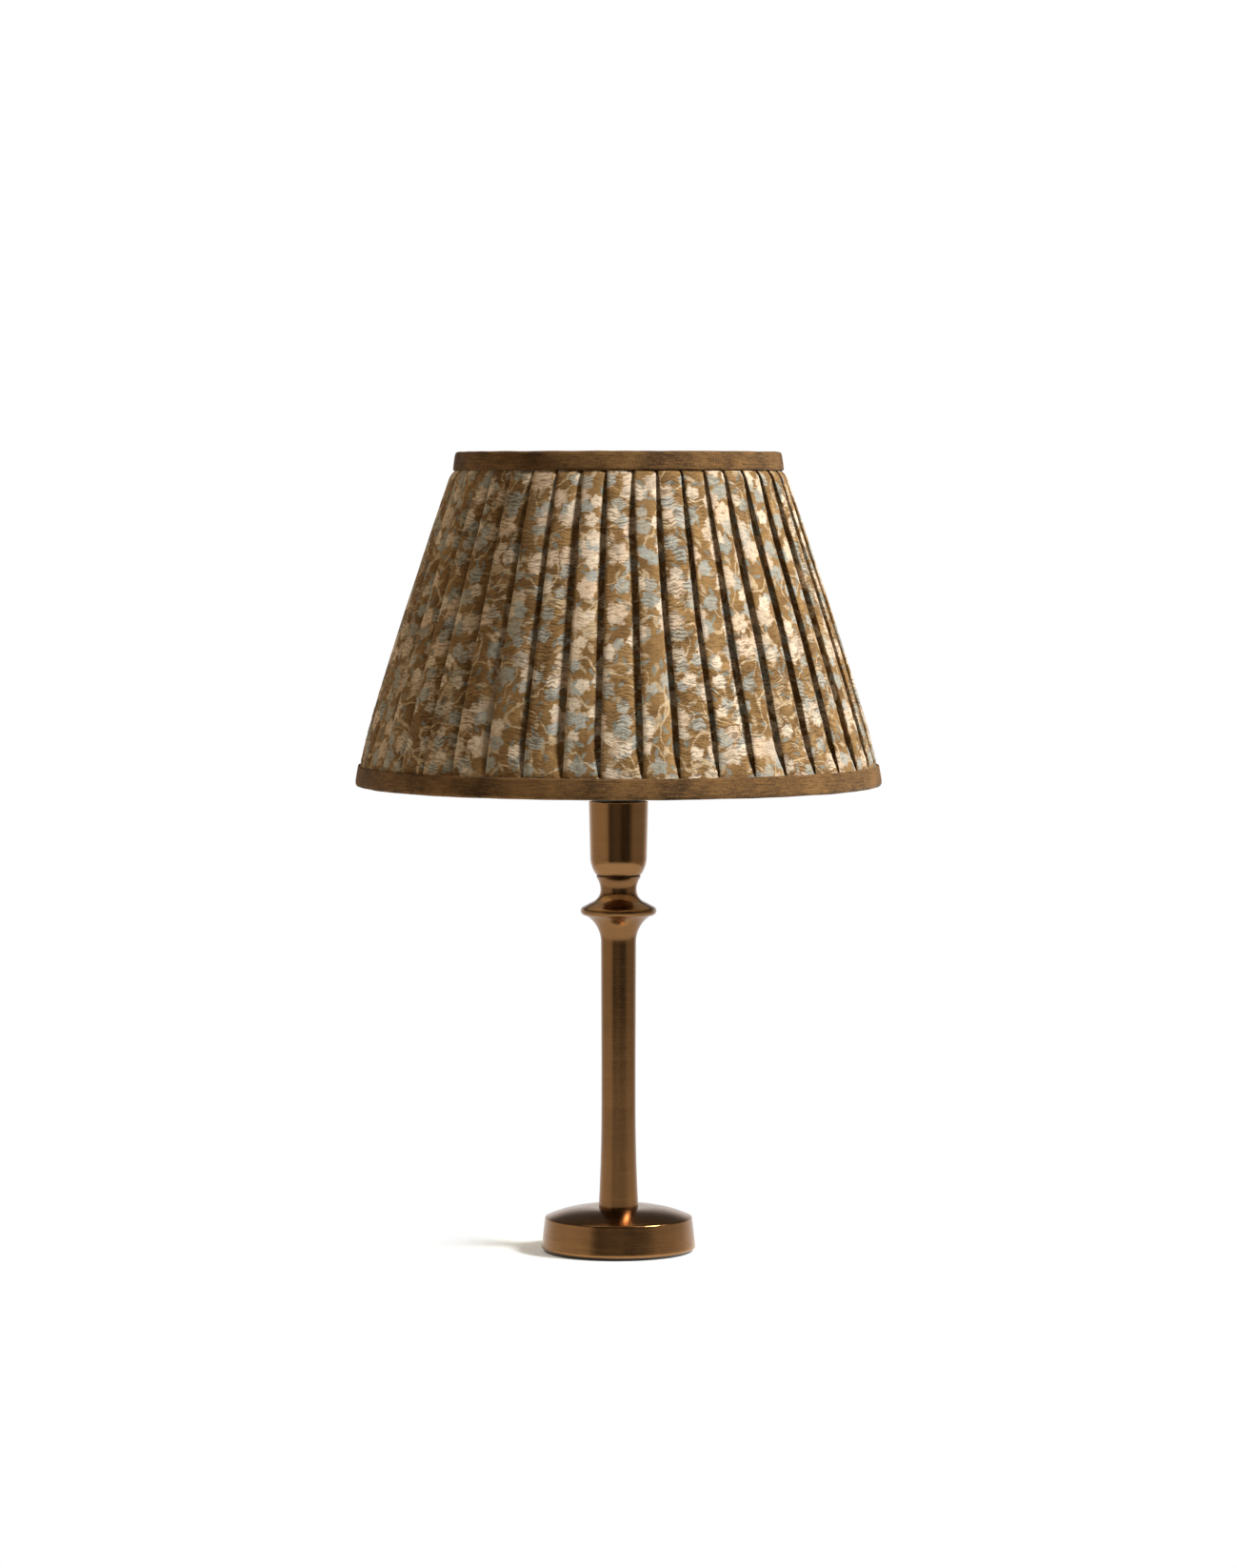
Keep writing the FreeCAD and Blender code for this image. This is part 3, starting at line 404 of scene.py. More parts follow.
# %% [markdown]
# The foot is cast and then turned, which leaves a crisp edge between its rim and its crown.
# The frame's own foot has a soft shoulder there, lower than the photograph shows. A bevel can't sharpen it,
# so a finer foot of the same size is spun here, with its edge in the right place.
# First a helper for the two round parts of its section: the small round at the base and the bulge of the crown.

# %% Arcs of a section
def arc_points(start, end, radius, count):
    """Points on the bulging arc between two places of a section."""
    (x1, z1), (x2, z2) = start, end
    chord = math.hypot(x2 - x1, z2 - z1)
    rise = math.sqrt(radius * radius - chord * chord / 4)
    out_x, out_z = (z2 - z1) / chord, -(x2 - x1) / chord
    middle_x, middle_z = (x1 + x2) / 2 - out_x * rise, (z1 + z2) / 2 - out_z * rise
    first = math.atan2(z1 - middle_z, x1 - middle_x)
    last = math.atan2(z2 - middle_z, x2 - middle_x)
    angles = [first + (last - first) * step / count for step in range(count + 1)]
    return [(middle_x + radius * math.cos(a), middle_z + radius * math.sin(a)) for a in angles]


print("a quarter round:", [tuple(round(part, 2) for part in point) for point in arc_points((0, 0), (1, 1), 1, 2)])

# %% [markdown]
# A lathe turns a section about its axis, and so does the spin operator. Its first and last copies are joined.
# Level corners are bevelled by a third of a millimetre, because a real turned edge catches one thin line of light.

# %% Turn a section
SAME_SPOT = 0.00001
SAME_LEVEL = 0.000001
SHARP_CORNER = math.radians(24)
CORNER_BEVEL = 0.35 * MM


def turned(section):
    """A closed section of radii and heights in millimetres, spun about the lamp's axis and bevelled at its corners."""
    ring = bmesh.new()
    points = [ring.verts.new((radius * MM, 0.0, height * MM)) for radius, height in section]
    for here, there in zip(points, points[1:] + points[:1]):
        ring.edges.new((here, there))
    bmesh.ops.spin(ring, geom=ring.verts[:] + ring.edges[:], cent=(0, 0, 0), axis=(0, 0, 1),
                   angle=2 * math.pi, steps=192, use_merge=True)
    bmesh.ops.remove_doubles(ring, verts=ring.verts, dist=SAME_SPOT)
    bmesh.ops.recalc_face_normals(ring, faces=ring.faces)
    level_edges = [edge for edge in ring.edges if abs(edge.verts[0].co.z - edge.verts[1].co.z) < SAME_LEVEL]
    corners = [edge for edge in level_edges if edge.calc_face_angle(0.0) > SHARP_CORNER]
    bmesh.ops.bevel(ring, geom=corners, offset=CORNER_BEVEL, offset_type="OFFSET", segments=3, profile=0.5,
                    affect="EDGES", material=-1)
    for face in ring.faces:
        face.smooth = True
    return ring


print("corners over", round(math.degrees(SHARP_CORNER)), "degrees get a bevel of", round(CORNER_BEVEL / MM, 2), "mm")

# %% [markdown]
# The foot's section runs from its hollow underside round the base, up the leaning rim and over the crown to the stem,
# and back down the rod's hole. The rim leans in a little, and the crown meets it at the crisp edge.

# %% Spin the foot
foot_low, foot_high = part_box("foot")
base, top = foot_low.z / MM, foot_high.z / MM
RIM_RADIUS, BASE_ROUND = 44.15, 1.2
EDGE_RADIUS, EDGE_HEIGHT = 42.0, 17.9
STEM_RADIUS, CROWN_BULGE = 11.3, 68.0
ROD_HOLE, WELL_RADIUS, WELL_ROOF = 5.2, 17.0, 8.0

rim_foot, rim_edge = (RIM_RADIUS, base + BASE_ROUND), (EDGE_RADIUS, base + EDGE_HEIGHT)
base_edge = arc_points((RIM_RADIUS - BASE_ROUND, base), rim_foot, BASE_ROUND, 5)
# Two points near the ends of the rim keep its smooth shading straight between them.
rim_supports = [tuple(low + (high - low) * share for low, high in zip(rim_foot, rim_edge)) for share in (0.05, 0.95)]
crown = arc_points(rim_edge, (STEM_RADIUS, top), CROWN_BULGE, 40)
hollow = [(ROD_HOLE, top), (ROD_HOLE, top - WELL_ROOF), (WELL_RADIUS, top - WELL_ROOF)]
foot_section = [(WELL_RADIUS, base)] + base_edge + rim_supports + crown + hollow
turned_foot = as_piece(turned(foot_section), "turned_foot", FOOT_BRONZE)
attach(turned_foot, "stand")
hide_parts("foot")
print("foot spun with", len(turned_foot.data.polygons), "faces")

# %% [markdown]
# A cord would enter at the back of the foot, through a flanged bush in a drilled hole with a flat round seat.
# A dark disc could stand for the hole, but light has to fall into a real one, so both are cut out of the spun foot.

# %% Drill the cord inlet
def drill(piece, radius, near, far, height):
    """Cuts a round hole along the lamp's depth, from near to far behind its axis."""
    along_depth = Matrix.Rotation(math.radians(90), 4, "X")
    place = Matrix.Translation((0.0, (near + far) / 2 * MM, height)) @ along_depth
    drill_bit = bmesh.new()
    bmesh.ops.create_cone(drill_bit, cap_ends=True, segments=64, radius1=radius * MM, radius2=radius * MM,
                          depth=(far - near) * MM, matrix=place)
    cutter = as_piece(drill_bit, "drill_bit")
    hole = piece.modifiers.new("hole", "BOOLEAN")
    hole.operation, hole.solver, hole.object = "DIFFERENCE", "EXACT", cutter
    bpy.context.view_layer.update()
    piece.data = bpy.data.meshes.new_from_object(piece.evaluated_get(bpy.context.evaluated_depsgraph_get()))
    piece.modifiers.clear()
    bpy.data.objects.remove(cutter)


bush_low, bush_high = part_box("inlet_bush")
inlet_height = (bush_low.z + bush_high.z) / 2
BARREL_HOLE, FLANGE_SEAT, SEAT_DEPTH = 4.5, 5.7, 2.4
INTO_WELL, PAST_RIM = 14.0, 50.0
drill(turned_foot, BARREL_HOLE, INTO_WELL, PAST_RIM, inlet_height)
drill(turned_foot, FLANGE_SEAT, RIM_RADIUS - SEAT_DEPTH, PAST_RIM, inlet_height)
turned_foot.data.set_sharp_from_angle(angle=math.radians(32))
print("inlet drilled at", round(inlet_height / MM, 2), "mm")

# %% [markdown]
# The shade's print is a plain all-over garden pattern: scalloped flowers, small leaves and thin stems.
# It could be painted as an image, but here it is grown from cells: each drops one flower, with its own size and turn.
# The pattern is laid on the flat cloth, before it is folded, so the pleats cut the flowers as real pleats do.

# %% Cells of a print
# Radians in a whole turn, near enough for what chance turns.
TURN = 6.283


def cell_shapes(finish, place, cell, jitter, seed):
    """Where a point lies from its cell's middle: across, up, away and at what angle. Then three random numbers."""
    shifted = finish.vector("ADD", place, (seed, seed * 1.7, 0.0))
    scaled = finish.vector("SCALE", shifted, 1.0 / cell)
    settings = {"voronoi_dimensions": "2D", "feature": "F1"}
    cells = finish.node("ShaderNodeTexVoronoi", settings, {"Vector": scaled, "Scale": 1.0, "Randomness": jitter})
    across, up, _ = finish.parts(finish.vector("SUBTRACT", scaled, cells.outputs["Position"]))
    chance = finish.parts(cells.outputs["Color"])
    return across, up, Field(finish, cells.outputs["Distance"]), up.join("ARCTAN2", across), chance


print("cells are ready to hold leaves and flowers")

# %% [markdown]
# Leaves are small ellipses, each turned by chance in its cell. Stems could be drawn as curves, but the level lines
# of a slow noise wander in the same way and never end in the open.

# %% Leaves and stems
# Leaves: the cell's size in metres, where its cells begin, and tone.
LEAVES = ((0.0078, 3.1, (0.165, 0.185, 0.165)), (0.0092, 7.7, (0.400, 0.300, 0.190)))
# Stems: how fine their noise is, their width, and where the noise begins.
STEMS = ((24.0, 0.014, 1.3), (33.0, 0.013, 5.9))
STEM_TONE = (0.50, 0.38, 0.24)


def with_leaves(finish, place, ragged, colour):
    """Adds the leaves to a colour."""
    for cell, seed, tone in LEAVES:
        across, up, _, _, chance = cell_shapes(finish, place, cell, 0.9, seed)
        turn = chance[0] * TURN
        long_way = across * turn.join("COSINE") + up * turn.sine()
        short_way = up * turn.join("COSINE") - across * turn.sine()
        shape = short_way.size() * 3.4 + long_way * long_way * 2.6
        leaf = (1 - (shape + ragged * 0.5).ramp(0.30, 0.60)) * chance[1].ramp(0.30, 0.34)
        colour = finish.mix(leaf * 0.85, colour, tone)
    return colour


def with_stems(finish, place, colour):
    """Adds the stems to a colour."""
    for scale, width, seed in STEMS:
        slow = finish.cloud(finish.vector("ADD", place, (seed, seed, 0.0)), scale, 0.0, 0.5, 0.8)
        stem = 1 - (slow - 0.5).size().ramp(width * 0.5, width)
        colour = finish.mix(stem * 0.7, colour, STEM_TONE)
    return colour


print(len(LEAVES), "kinds of leaf and", len(STEMS), "of stem")

# %% [markdown]
# A flower is drawn round its cell's middle: a scalloped rim from the sine of the angle, a few lines on its petals,
# and a small eye. Cloudy patches pull some of them towards brown or grey, as uneven dye does.

# %% Flowers
# The cell's size, where its cells begin, then reach, petals, tone, tone of the lines, and rarity.
FLOWERS = (
    (0.0152, 2.3, 0.37, 5.0, (0.270, 0.290, 0.265), (0.185, 0.180, 0.150), 0.52),
    (0.0190, 9.1, 0.37, 6.0, (0.660, 0.500, 0.365), (0.380, 0.270, 0.170), 0.48),
    (0.0125, 4.7, 0.36, 5.0, (0.300, 0.325, 0.310), (0.480, 0.410, 0.310), 0.60),
    (0.0132, 6.2, 0.36, 5.0, (0.720, 0.585, 0.445), (0.370, 0.310, 0.235), 0.58),
)
BROWNED, GREYED = (0.42, 0.33, 0.22), (0.24, 0.26, 0.24)


def with_flowers(finish, place, ragged, colour):
    """Adds the flowers to a colour."""
    patchy = finish.cloud(place, 70.0, 2.0).ramp(0.42, 0.58)
    uneven_dye = finish.mix(patchy, BROWNED, GREYED)
    for cell, seed, reach, petals, tone, line_tone, rare in FLOWERS:
        _, _, away, angle, chance = cell_shapes(finish, place, cell, 0.72, seed)
        spin = angle * (petals / 2) + chance[0] * TURN
        rim = (spin.sine().size() * 0.26 + 0.74) * (chance[1] * 0.30 + 0.80) * reach
        outward = away / rim
        bloom = (1 - (outward + ragged * 0.9).ramp(0.78, 1.10)) * chance[2].ramp(rare, rare + 0.02) * 0.86
        lines = (spin * 4.0).sine().size().ramp(0.0, 0.22)
        vein = (1 - lines) * outward.ramp(0.30, 0.45) * (1 - outward.ramp(0.75, 0.9))
        eye = 1 - outward.ramp(0.14, 0.22)
        petal = finish.mix((vein + eye).least(1.0) * 0.75, tone, line_tone)
        petal = finish.mix(outward.ramp(0.78, 0.97) * 0.35, petal, line_tone)
        petal = finish.mix(chance[0] * 0.45, petal, uneven_dye)
        colour = finish.mix(bloom, colour, petal)
    return colour


print(len(FLOWERS), "kinds of flower")

# %% [markdown]
# The print lies on an olive brown ground. Its edges wander by a fine noise, because dye never stays where it was put,
# and clean ones would look like cut paper.

# %% Garden print
GROUND_STOPS = [(0.3, (0.125, 0.066, 0.022)), (0.7, (0.270, 0.160, 0.062))]
WANDER = 0.0030


def garden_print(finish, flat):
    """Leaves, stems and flowers in cream and grey blue, on an olive brown ground."""
    ragged = finish.cloud(flat, 620.0, 2.0, 0.6) - 0.5
    wavy = {"Vector": flat, "Scale": 190.0, "Detail": 3.0}
    wander = finish.node("ShaderNodeTexNoise", {"noise_dimensions": "2D"}, wavy).outputs["Color"]
    nudge = finish.vector("SCALE", finish.vector("SUBTRACT", wander, (0.5, 0.5, 0.5)), WANDER)
    place = finish.vector("ADD", flat, nudge)
    ground = finish.stops(finish.cloud(place, 60.0, 3.0), GROUND_STOPS)
    leafy = with_stems(finish, place, with_leaves(finish, place, ragged, ground))
    return with_flowers(finish, place, ragged, leafy)


print("the print's edges wander by up to", round(WANDER / 2 / MM, 1), "mm")

# %% [markdown]
# The print is on thin silk that was crinkled before it was pleated, so short wavy lines run across it.
# Painted shade in their troughs and a bump make them, which is far lighter than modelling each one.

# %% Crinkled silk
def printed_cloth():
    """The garden print on silk, with its crinkles, its threads and the wear on them."""
    finish = Finish("printed_cloth", Sheen_Weight=0.08, Sheen_Roughness=0.5, Specular_IOR_Level=0.12)
    flat = finish.place(cloth="Cloth")
    colour = garden_print(finish, flat)
    along, up, _ = finish.parts(flat)
    bowed = finish.cloud(finish.place(scale=(110, 16, 1), cloth="Cloth"), 1.0, 2.0)
    lift = up + (bowed - 0.5) * 0.008
    crinkled = finish.node("ShaderNodeCombineXYZ", {}, {"X": along * 150.0, "Y": lift * 840.0, "Z": 0.0}).outputs[0]
    crinkle = finish.cloud(crinkled, 1.0, 2.0, 0.55)
    zones = finish.cloud(finish.place(scale=(42, 11, 1), shift=(3.0, 1.0, 0.0), cloth="Cloth"), 1.0, 2.0)
    zones = zones.ramp(0.38, 0.62)
    gather = finish.cloud(finish.place(scale=(250, 6, 1), cloth="Cloth"), 1.0, 2.0)
    thread = finish.cloud(finish.place(scale=(900, 2600, 1), cloth="Cloth"), 1.0, 2.0, 0.6)
    worn = finish.cloud(finish.place(scale=(55, 9, 1), cloth="Cloth"), 1.0, 3.0)
    # Painted shade: the crinkles' troughs are darkened towards deep brown, more in some zones than in others.
    crease_shade = 1 - crinkle.ramp(0.40, 0.55)
    colour = finish.mix(crease_shade * (zones * 0.45 + 0.25), colour, (0.060, 0.032, 0.010))
    colour = finish.mix((thread - 0.5) * 0.5 + 0.5, colour, finish.mix(0.5, colour, (1.0, 0.95, 0.85), "SOFT_LIGHT"))
    colour = finish.mix(worn.ramp(0.55, 0.8) * 0.22, colour, (0.42, 0.33, 0.21))
    finish.emboss(crinkle * (zones * 0.5 + 0.6) + gather * 0.5 + thread * 0.15, 0.00090)
    return finish.paint(Base_Color=colour, Roughness=0.80 + (thread - 0.5) * 0.2)


PRINTED = printed_cloth()
print("printed silk mixed")

# %% [markdown]
# The cover is one long strip of cloth, folded into forty-two knife pleats. Each fold lies over the start of the next.
# A shell with grooves looks the same from afar, but it has no cloth under the folds, and the print runs on unbroken.
# So the piece starts as a flat grid, as the cloth does, and each point of it is carried to its place in the fold.
# The strip's own length is its pattern coordinate. Each pleat takes the same length of cloth at every height,
# so towards the narrow top more of it goes under the folds, and the print stays upright on the faces.
# The outline comes first, because the folds stand on it: it swells a little between the bindings, which press it flat.

# %% The outline of the shade
shade_low, shade_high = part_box("pleated_cover")
COVER_BOTTOM = shade_low.z / MM
COVER_TOP = shade_high.z / MM
BINDING_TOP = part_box("bottom_trim")[1].z / MM
BINDING_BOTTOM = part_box("top_trim")[0].z / MM
BOTTOM_TIP, TOP_TIP = 148.7, 91.6
SWELL = 2.8
# How far the outline goes in under the lower binding, and out under the upper one.
LOWER_LEAN, UPPER_LEAN = 2.0, 1.2
# Heights over which the folds come free of a binding, and over which they open past each of them.
BINDING_EASE = 3.5
LOWER_OPENING, UPPER_OPENING = 16.0, 34.0


def clamped(value):
    """The value, kept between 0 and 1."""
    return max(0.0, min(1.0, value))


def share_up(height):
    """0 at the cover's lower end and 1 at its upper end."""
    return (height - COVER_BOTTOM) / (COVER_TOP - COVER_BOTTOM)


def tip_radius(height):
    """How far out the folds stand, in millimetres, swelling between the two bindings."""
    part = share_up(height)
    free = BOTTOM_TIP + (TOP_TIP - BOTTOM_TIP) * part + SWELL * math.sin(math.pi * clamped(part) ** 0.6)
    if height < 0.5 * (BINDING_TOP + BINDING_BOTTOM):
        held = BOTTOM_TIP - LOWER_LEAN * (height - COVER_BOTTOM) / (BINDING_TOP - COVER_BOTTOM)
        loose = clamped((height - BINDING_TOP) / BINDING_EASE)
    else:
        held = TOP_TIP + UPPER_LEAN * (COVER_TOP - height) / (COVER_TOP - BINDING_BOTTOM)
        loose = clamped((BINDING_BOTTOM - height) / BINDING_EASE)
    return held + (free - held) * loose * loose * (3 - 2 * loose)


def openness(height):
    """0 where a binding presses the pleats flat, 1 where they stand free."""
    bottom = clamped((height - BINDING_TOP + 1.0) / LOWER_OPENING)
    top = clamped((BINDING_BOTTOM - height + 1.0) / UPPER_OPENING)
    return bottom ** 0.7 * (0.30 + 0.70 * top)


print("cover from", round(COVER_BOTTOM, 1), "to", round(COVER_TOP, 1), "mm")

# %% [markdown]
# Pleats that are all alike look like a machined part. Each one gets its own small shift, gap, depth and fullness,
# drawn once, and its edge wanders a little on its way up, as cloth does that was pinned by hand and eye.

# %% Each pleat's own draw
PLEATS = 42
PITCH = 2 * math.pi / PLEATS
FIRST_FOLD = math.radians(0.4)
FOLDS = []
for number in range(PLEATS):
    FOLDS.append({
        "shift": random.uniform(-0.075, 0.075),
        "sway": random.uniform(0.0, 100.0),
        "gap": random.uniform(0.72, 1.28),
        "depth": random.uniform(0.85, 1.12),
        "puff": random.uniform(0.2, 1.0),
    })


def fold_angle(number, height):
    """The angle of a fold's edge, which wanders a little on its way up."""
    fold = FOLDS[number % PLEATS]
    drift = 0.045 * noise.noise(Vector((fold["sway"], height * 0.018, 0.0)))
    return FIRST_FOLD - (number + fold["shift"] + drift) * PITCH


print(PLEATS, "pleats, with gaps from", round(min(fold["gap"] for fold in FOLDS), 2), "of the usual")

# %% [markdown]
# One pleat is fifteen steps of cloth: its fold's edge, the cloth hidden under it, the groove's floor, and the rounded
# end of the next face. Where a strut of the wire frame stands behind a groove, the groove stays shallow.
# Sines would be a shorter way to write it, but they never turn back, and a real fold lies over the next face.

# %% The path of one pleat
STEPS_PER_PLEAT = 15
CLOTH_PER_PLEAT = 31.0
WIRE_AT_BOTTOM, WIRE_AT_TOP = 146.2, 88.4
STRUT_ANGLE = math.radians(60)
# A groove's floor stays this far outside a strut, and may go so much deeper beside it.
OVER_STRUT, BESIDE_STRUT = 0.9, 2.2


def groove_depth(angle, height, tip, wish):
    """As deep as wished, but never onto a wire of the frame behind the cloth."""
    wire = WIRE_AT_BOTTOM + (WIRE_AT_TOP - WIRE_AT_BOTTOM) * share_up(height)
    aside = abs(angle - round(angle / STRUT_ANGLE) * STRUT_ANGLE) * tip
    return min(wish, tip - wire - OVER_STRUT + BESIDE_STRUT * clamped((aside - 4.0) / 3.0))


def pleat_path(number, height):
    """Places from one fold's edge to the next, as angles and radii, for one height."""
    fold = FOLDS[number % PLEATS]
    start = fold_angle(number, height)
    end = fold_angle(number + 1, height)
    tip = tip_radius(height)
    free = openness(height)
    pitch = (start - end) * tip
    depth = groove_depth(start, height, tip, (0.6 + 4.0 * free) * fold["depth"])
    gap = (0.4 + 3.0 * free) * fold["gap"]
    under = min(2.2 + 2.0 * free, 0.5 * (CLOTH_PER_PLEAT - pitch))
    wave = 0.30 * free * noise.noise(Vector((number * 3.1, height * 0.03, 4.0)))
    # Each place is how far on from this fold's edge, and how far out from the fold's tip: first the edge itself,
    # then under the fold, along the groove's floor, and up the rounded end of the next face.
    path = [
        (0.0, 0.0),
        (0.10, -0.18),
        (0.0, -0.42),
        (-0.45 * under, -0.50 - 0.30 * depth),
        (-0.92 * under, -0.30 - 0.68 * depth),
        (-0.60 * under, -0.97 * depth),
        (0.05 * gap, -1.00 * depth),
        (0.50 * gap, -0.94 * depth),
        (0.86 * gap, -0.70 * depth),
        (1.12 * gap + 0.2, -0.40 * depth + wave),
        (1.50 * gap + 0.6, -0.17 * depth + wave),
        (2.05 * gap + 1.2, -0.05 * depth + wave),
    ]
    crown = 0.45 * free * fold["puff"]
    face_start = 2.5 * gap + 2.2
    for part in (0.0, 0.36, 0.74):
        across = face_start + (pitch - face_start) * part
        path.append((across, crown * math.sin(math.pi * (0.10 + 0.80 * part)) + wave * (1 - part)))
    return [(start - across / tip, tip + rise) for across, rise in path]


print("a pleat takes", STEPS_PER_PLEAT, "steps and", CLOTH_PER_PLEAT, "mm of cloth")

# %% [markdown]
# Cloth that is eased into a binding gathers a little beside it. Noise along and up the cloth gives these soft gathers.

# %% Soft gathers
# How far the gathers reach from each binding.
LOWER_GATHERS, UPPER_GATHERS = 75.0, 40.0


def crease(angle, height, tip):
    """Soft gathers near the bindings, most of all where the cloth is eased into the lower one."""
    low = max(0.0, 1.0 - (height - BINDING_TOP) / LOWER_GATHERS)
    high = max(0.0, 1.0 - (BINDING_BOTTOM - height) / UPPER_GATHERS)
    place = angle * tip
    ripple = noise.noise(Vector((place * 0.30, height * 0.012, 1.0)))
    fine = noise.noise(Vector((place * 0.75, height * 0.030, 8.0)))
    slub = noise.noise(Vector((place * 0.10, height * 0.10, 3.0)))
    return low * (0.55 * ripple + 0.35 * fine) + 0.16 * high * ripple + 0.12 * slub


deepest = max(abs(crease(math.radians(degrees), BINDING_TOP, BOTTOM_TIP)) for degrees in range(360))
print("gathers of up to", round(deepest, 2), "mm above the bottom binding")

# %% [markdown]
# At each level of the shade, the paths of all pleats follow each other round it. The places on them are in space,
# and their distances along the path say where the same points lay on the flat cloth.

# %% One level of the cloth
LEVELS = 84
# The step of a pleat, deep under its fold, where its spare cloth is let in.
LET_IN = 6


def folded_level(level):
    """For one level: the places of its points, and how far along the flat cloth each lies, in millimetres."""
    height = COVER_BOTTOM + (COVER_TOP - COVER_BOTTOM) * level / LEVELS
    tip = tip_radius(height)
    soft = min(1.0, openness(height) + 0.2)
    places = []
    for number in range(PLEATS):
        for angle, radius in pleat_path(number, height):
            radius += crease(angle % (2 * math.pi), height, tip) * soft
            places.append(Vector((radius * math.cos(angle), radius * math.sin(angle), height)))
    places.append(places[0])
    lengths = [(there - here).length for here, there in zip(places, places[1:])]
    along = []
    for number in range(PLEATS):
        # Cloth is measured from both ends of the pleat, and what is over is let in under the fold.
        pleat = lengths[number * STEPS_PER_PLEAT:(number + 1) * STEPS_PER_PLEAT]
        along += [number * CLOTH_PER_PLEAT + sum(pleat[:step]) for step in range(LET_IN)]
        along += [(number + 1) * CLOTH_PER_PLEAT - sum(pleat[step:]) for step in range(LET_IN, STEPS_PER_PLEAT)]
    along.append(PLEATS * CLOTH_PER_PLEAT)
    return places, along


print("one level has", len(folded_level(0)[0]), "places")

# %% [markdown]
# A grid is the flat strip: its columns run round the shade and its levels run up it. Every point of the grid is carried
# to its place in the fold, and its pattern keeps where it lay on the flat cloth.
# A cloth simulation would also fold a strip, but these pleats are pressed and sewn, so their form is known.

# %% Fold the cloth
# Millimetres of cloth up the slant for each millimetre of height.
SLANT = 1.045


def folded_cover():
    """The pleated strip, closed into a ring."""
    columns = PLEATS * STEPS_PER_PLEAT
    cloth = bmesh.new()
    bmesh.ops.create_grid(cloth, x_segments=columns, y_segments=LEVELS, size=0.5)
    pattern = cloth.loops.layers.uv.new("Cloth")
    spots = {
        point: (round((point.co.x + 0.5) * columns), round((point.co.y + 0.5) * LEVELS)) for point in cloth.verts}
    folded = [folded_level(level) for level in range(LEVELS + 1)]
    for point, (column, level) in spots.items():
        point.co = folded[level][0][column] * MM
    for face in cloth.faces:
        face.smooth = True
        for loop in face.loops:
            column, level = spots[loop.vert]
            up_cloth = level / LEVELS * (COVER_TOP - COVER_BOTTOM) * SLANT
            loop[pattern].uv = (folded[level][1][column] * MM, up_cloth * MM)
    bmesh.ops.remove_doubles(cloth, verts=cloth.verts, dist=SAME_SPOT)
    bmesh.ops.reverse_faces(cloth, faces=cloth.faces)
    return cloth


pleated_cloth = as_piece(folded_cover(), "pleated_cloth", PRINTED)
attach(pleated_cloth, "shade")
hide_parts("pleated_cover")

# %% [markdown]
# The bindings and the lining are plain slubby linen. A picture of linen would repeat and blur, so its weave is drawn
# as noise stretched both ways, on the strip's own length and width, and turned because the strips are cut on the bias.

# %% Linen finish
BIAS = (0, 0, 0.6)


def linen(name, dark, pale, slub=1.0):
    """Plain woven linen with uneven threads in both directions."""
    finish = Finish(name, Sheen_Weight=0.06, Sheen_Roughness=0.5, Specular_IOR_Level=0.2)
    across = finish.cloud(finish.place(scale=(3200, 260, 1), turn=BIAS, cloth="Cloth"), 1.0, 2.0, 0.6)
    along = finish.cloud(finish.place(scale=(260, 3200, 1), turn=BIAS, cloth="Cloth"), 1.0, 2.0, 0.6)
    slubs = finish.cloud(finish.place(scale=(110, 900, 1), cloth="Cloth"), 1.0, 3.0, 0.6)
    bands = finish.cloud(finish.place(scale=(38, 30, 1), cloth="Cloth"), 1.0, 2.0)
    tone = (across - 0.5) * 1.1 + (along - 0.5) * 1.1 + (slubs - 0.5) * 1.2 * slub + (bands - 0.5) * 1.3 + 0.5
    colour = finish.stops(tone, [(0.15, dark), (0.85, pale)])
    finish.emboss(across * 0.5 + along * 0.5 + slubs * 0.5, 0.00035)
    return finish.paint(Base_Color=colour, Roughness=0.86 + (slubs - 0.5) * 0.12)


BINDING = linen("binding_linen", (0.040, 0.018, 0.0045), (0.215, 0.112, 0.036))
LINING = linen("lining_linen", (0.62, 0.56, 0.45), (0.86, 0.82, 0.72), slub=0.6)
print("linen for the bindings and the lining")

# %% [markdown]
# A strip of cloth keeps its own length and width as its pattern, so that the weave follows it round the shade.
# A perfect ring looks like moulded plastic, so slow noise pushes each strip about by a fraction of a millimetre.

# %% Pattern and wobble of a strip
def lay_pattern(ring, middle):
    """Gives each point its place on the flat strip: along it by the angle, across it by height and radius."""
    pattern = ring.loops.layers.uv.new("Cloth")
    for face in ring.faces:
        centre = face.calc_center_median()
        base_angle = math.atan2(centre.y, centre.x)
        for loop in face.loops:
            spot = loop.vert.co
            angle = math.atan2(spot.y, spot.x)
            # A face on the seam keeps all its points on one side of it.
            angle += 2 * math.pi * round((base_angle - angle) / (2 * math.pi))
            loop[pattern].uv = (angle * middle, spot.z - math.hypot(spot.x, spot.y))


def push_about(ring, wobble):
    """Moves the cloth in and out, and a little less up and down, by so many millimetres."""
    for point in ring.verts:
        angle = math.atan2(point.co.y, point.co.x)
        outward = Vector((math.cos(angle), math.sin(angle), 0.0))
        around = outward * 9.0 + Vector((0.0, 0.0, point.co.z * 60.0))
        finer = outward * 30.0 + Vector((0.0, 0.0, point.co.z * 160.0))
        push = (noise.noise(around) + 0.5 * noise.noise(finer)) * wobble * MM
        lift = noise.noise(around + Vector((5, 5, 5))) * wobble * 0.8 * MM
        point.co += outward * push + Vector((0, 0, lift))


print("strips get their pattern first and their wobble after it")
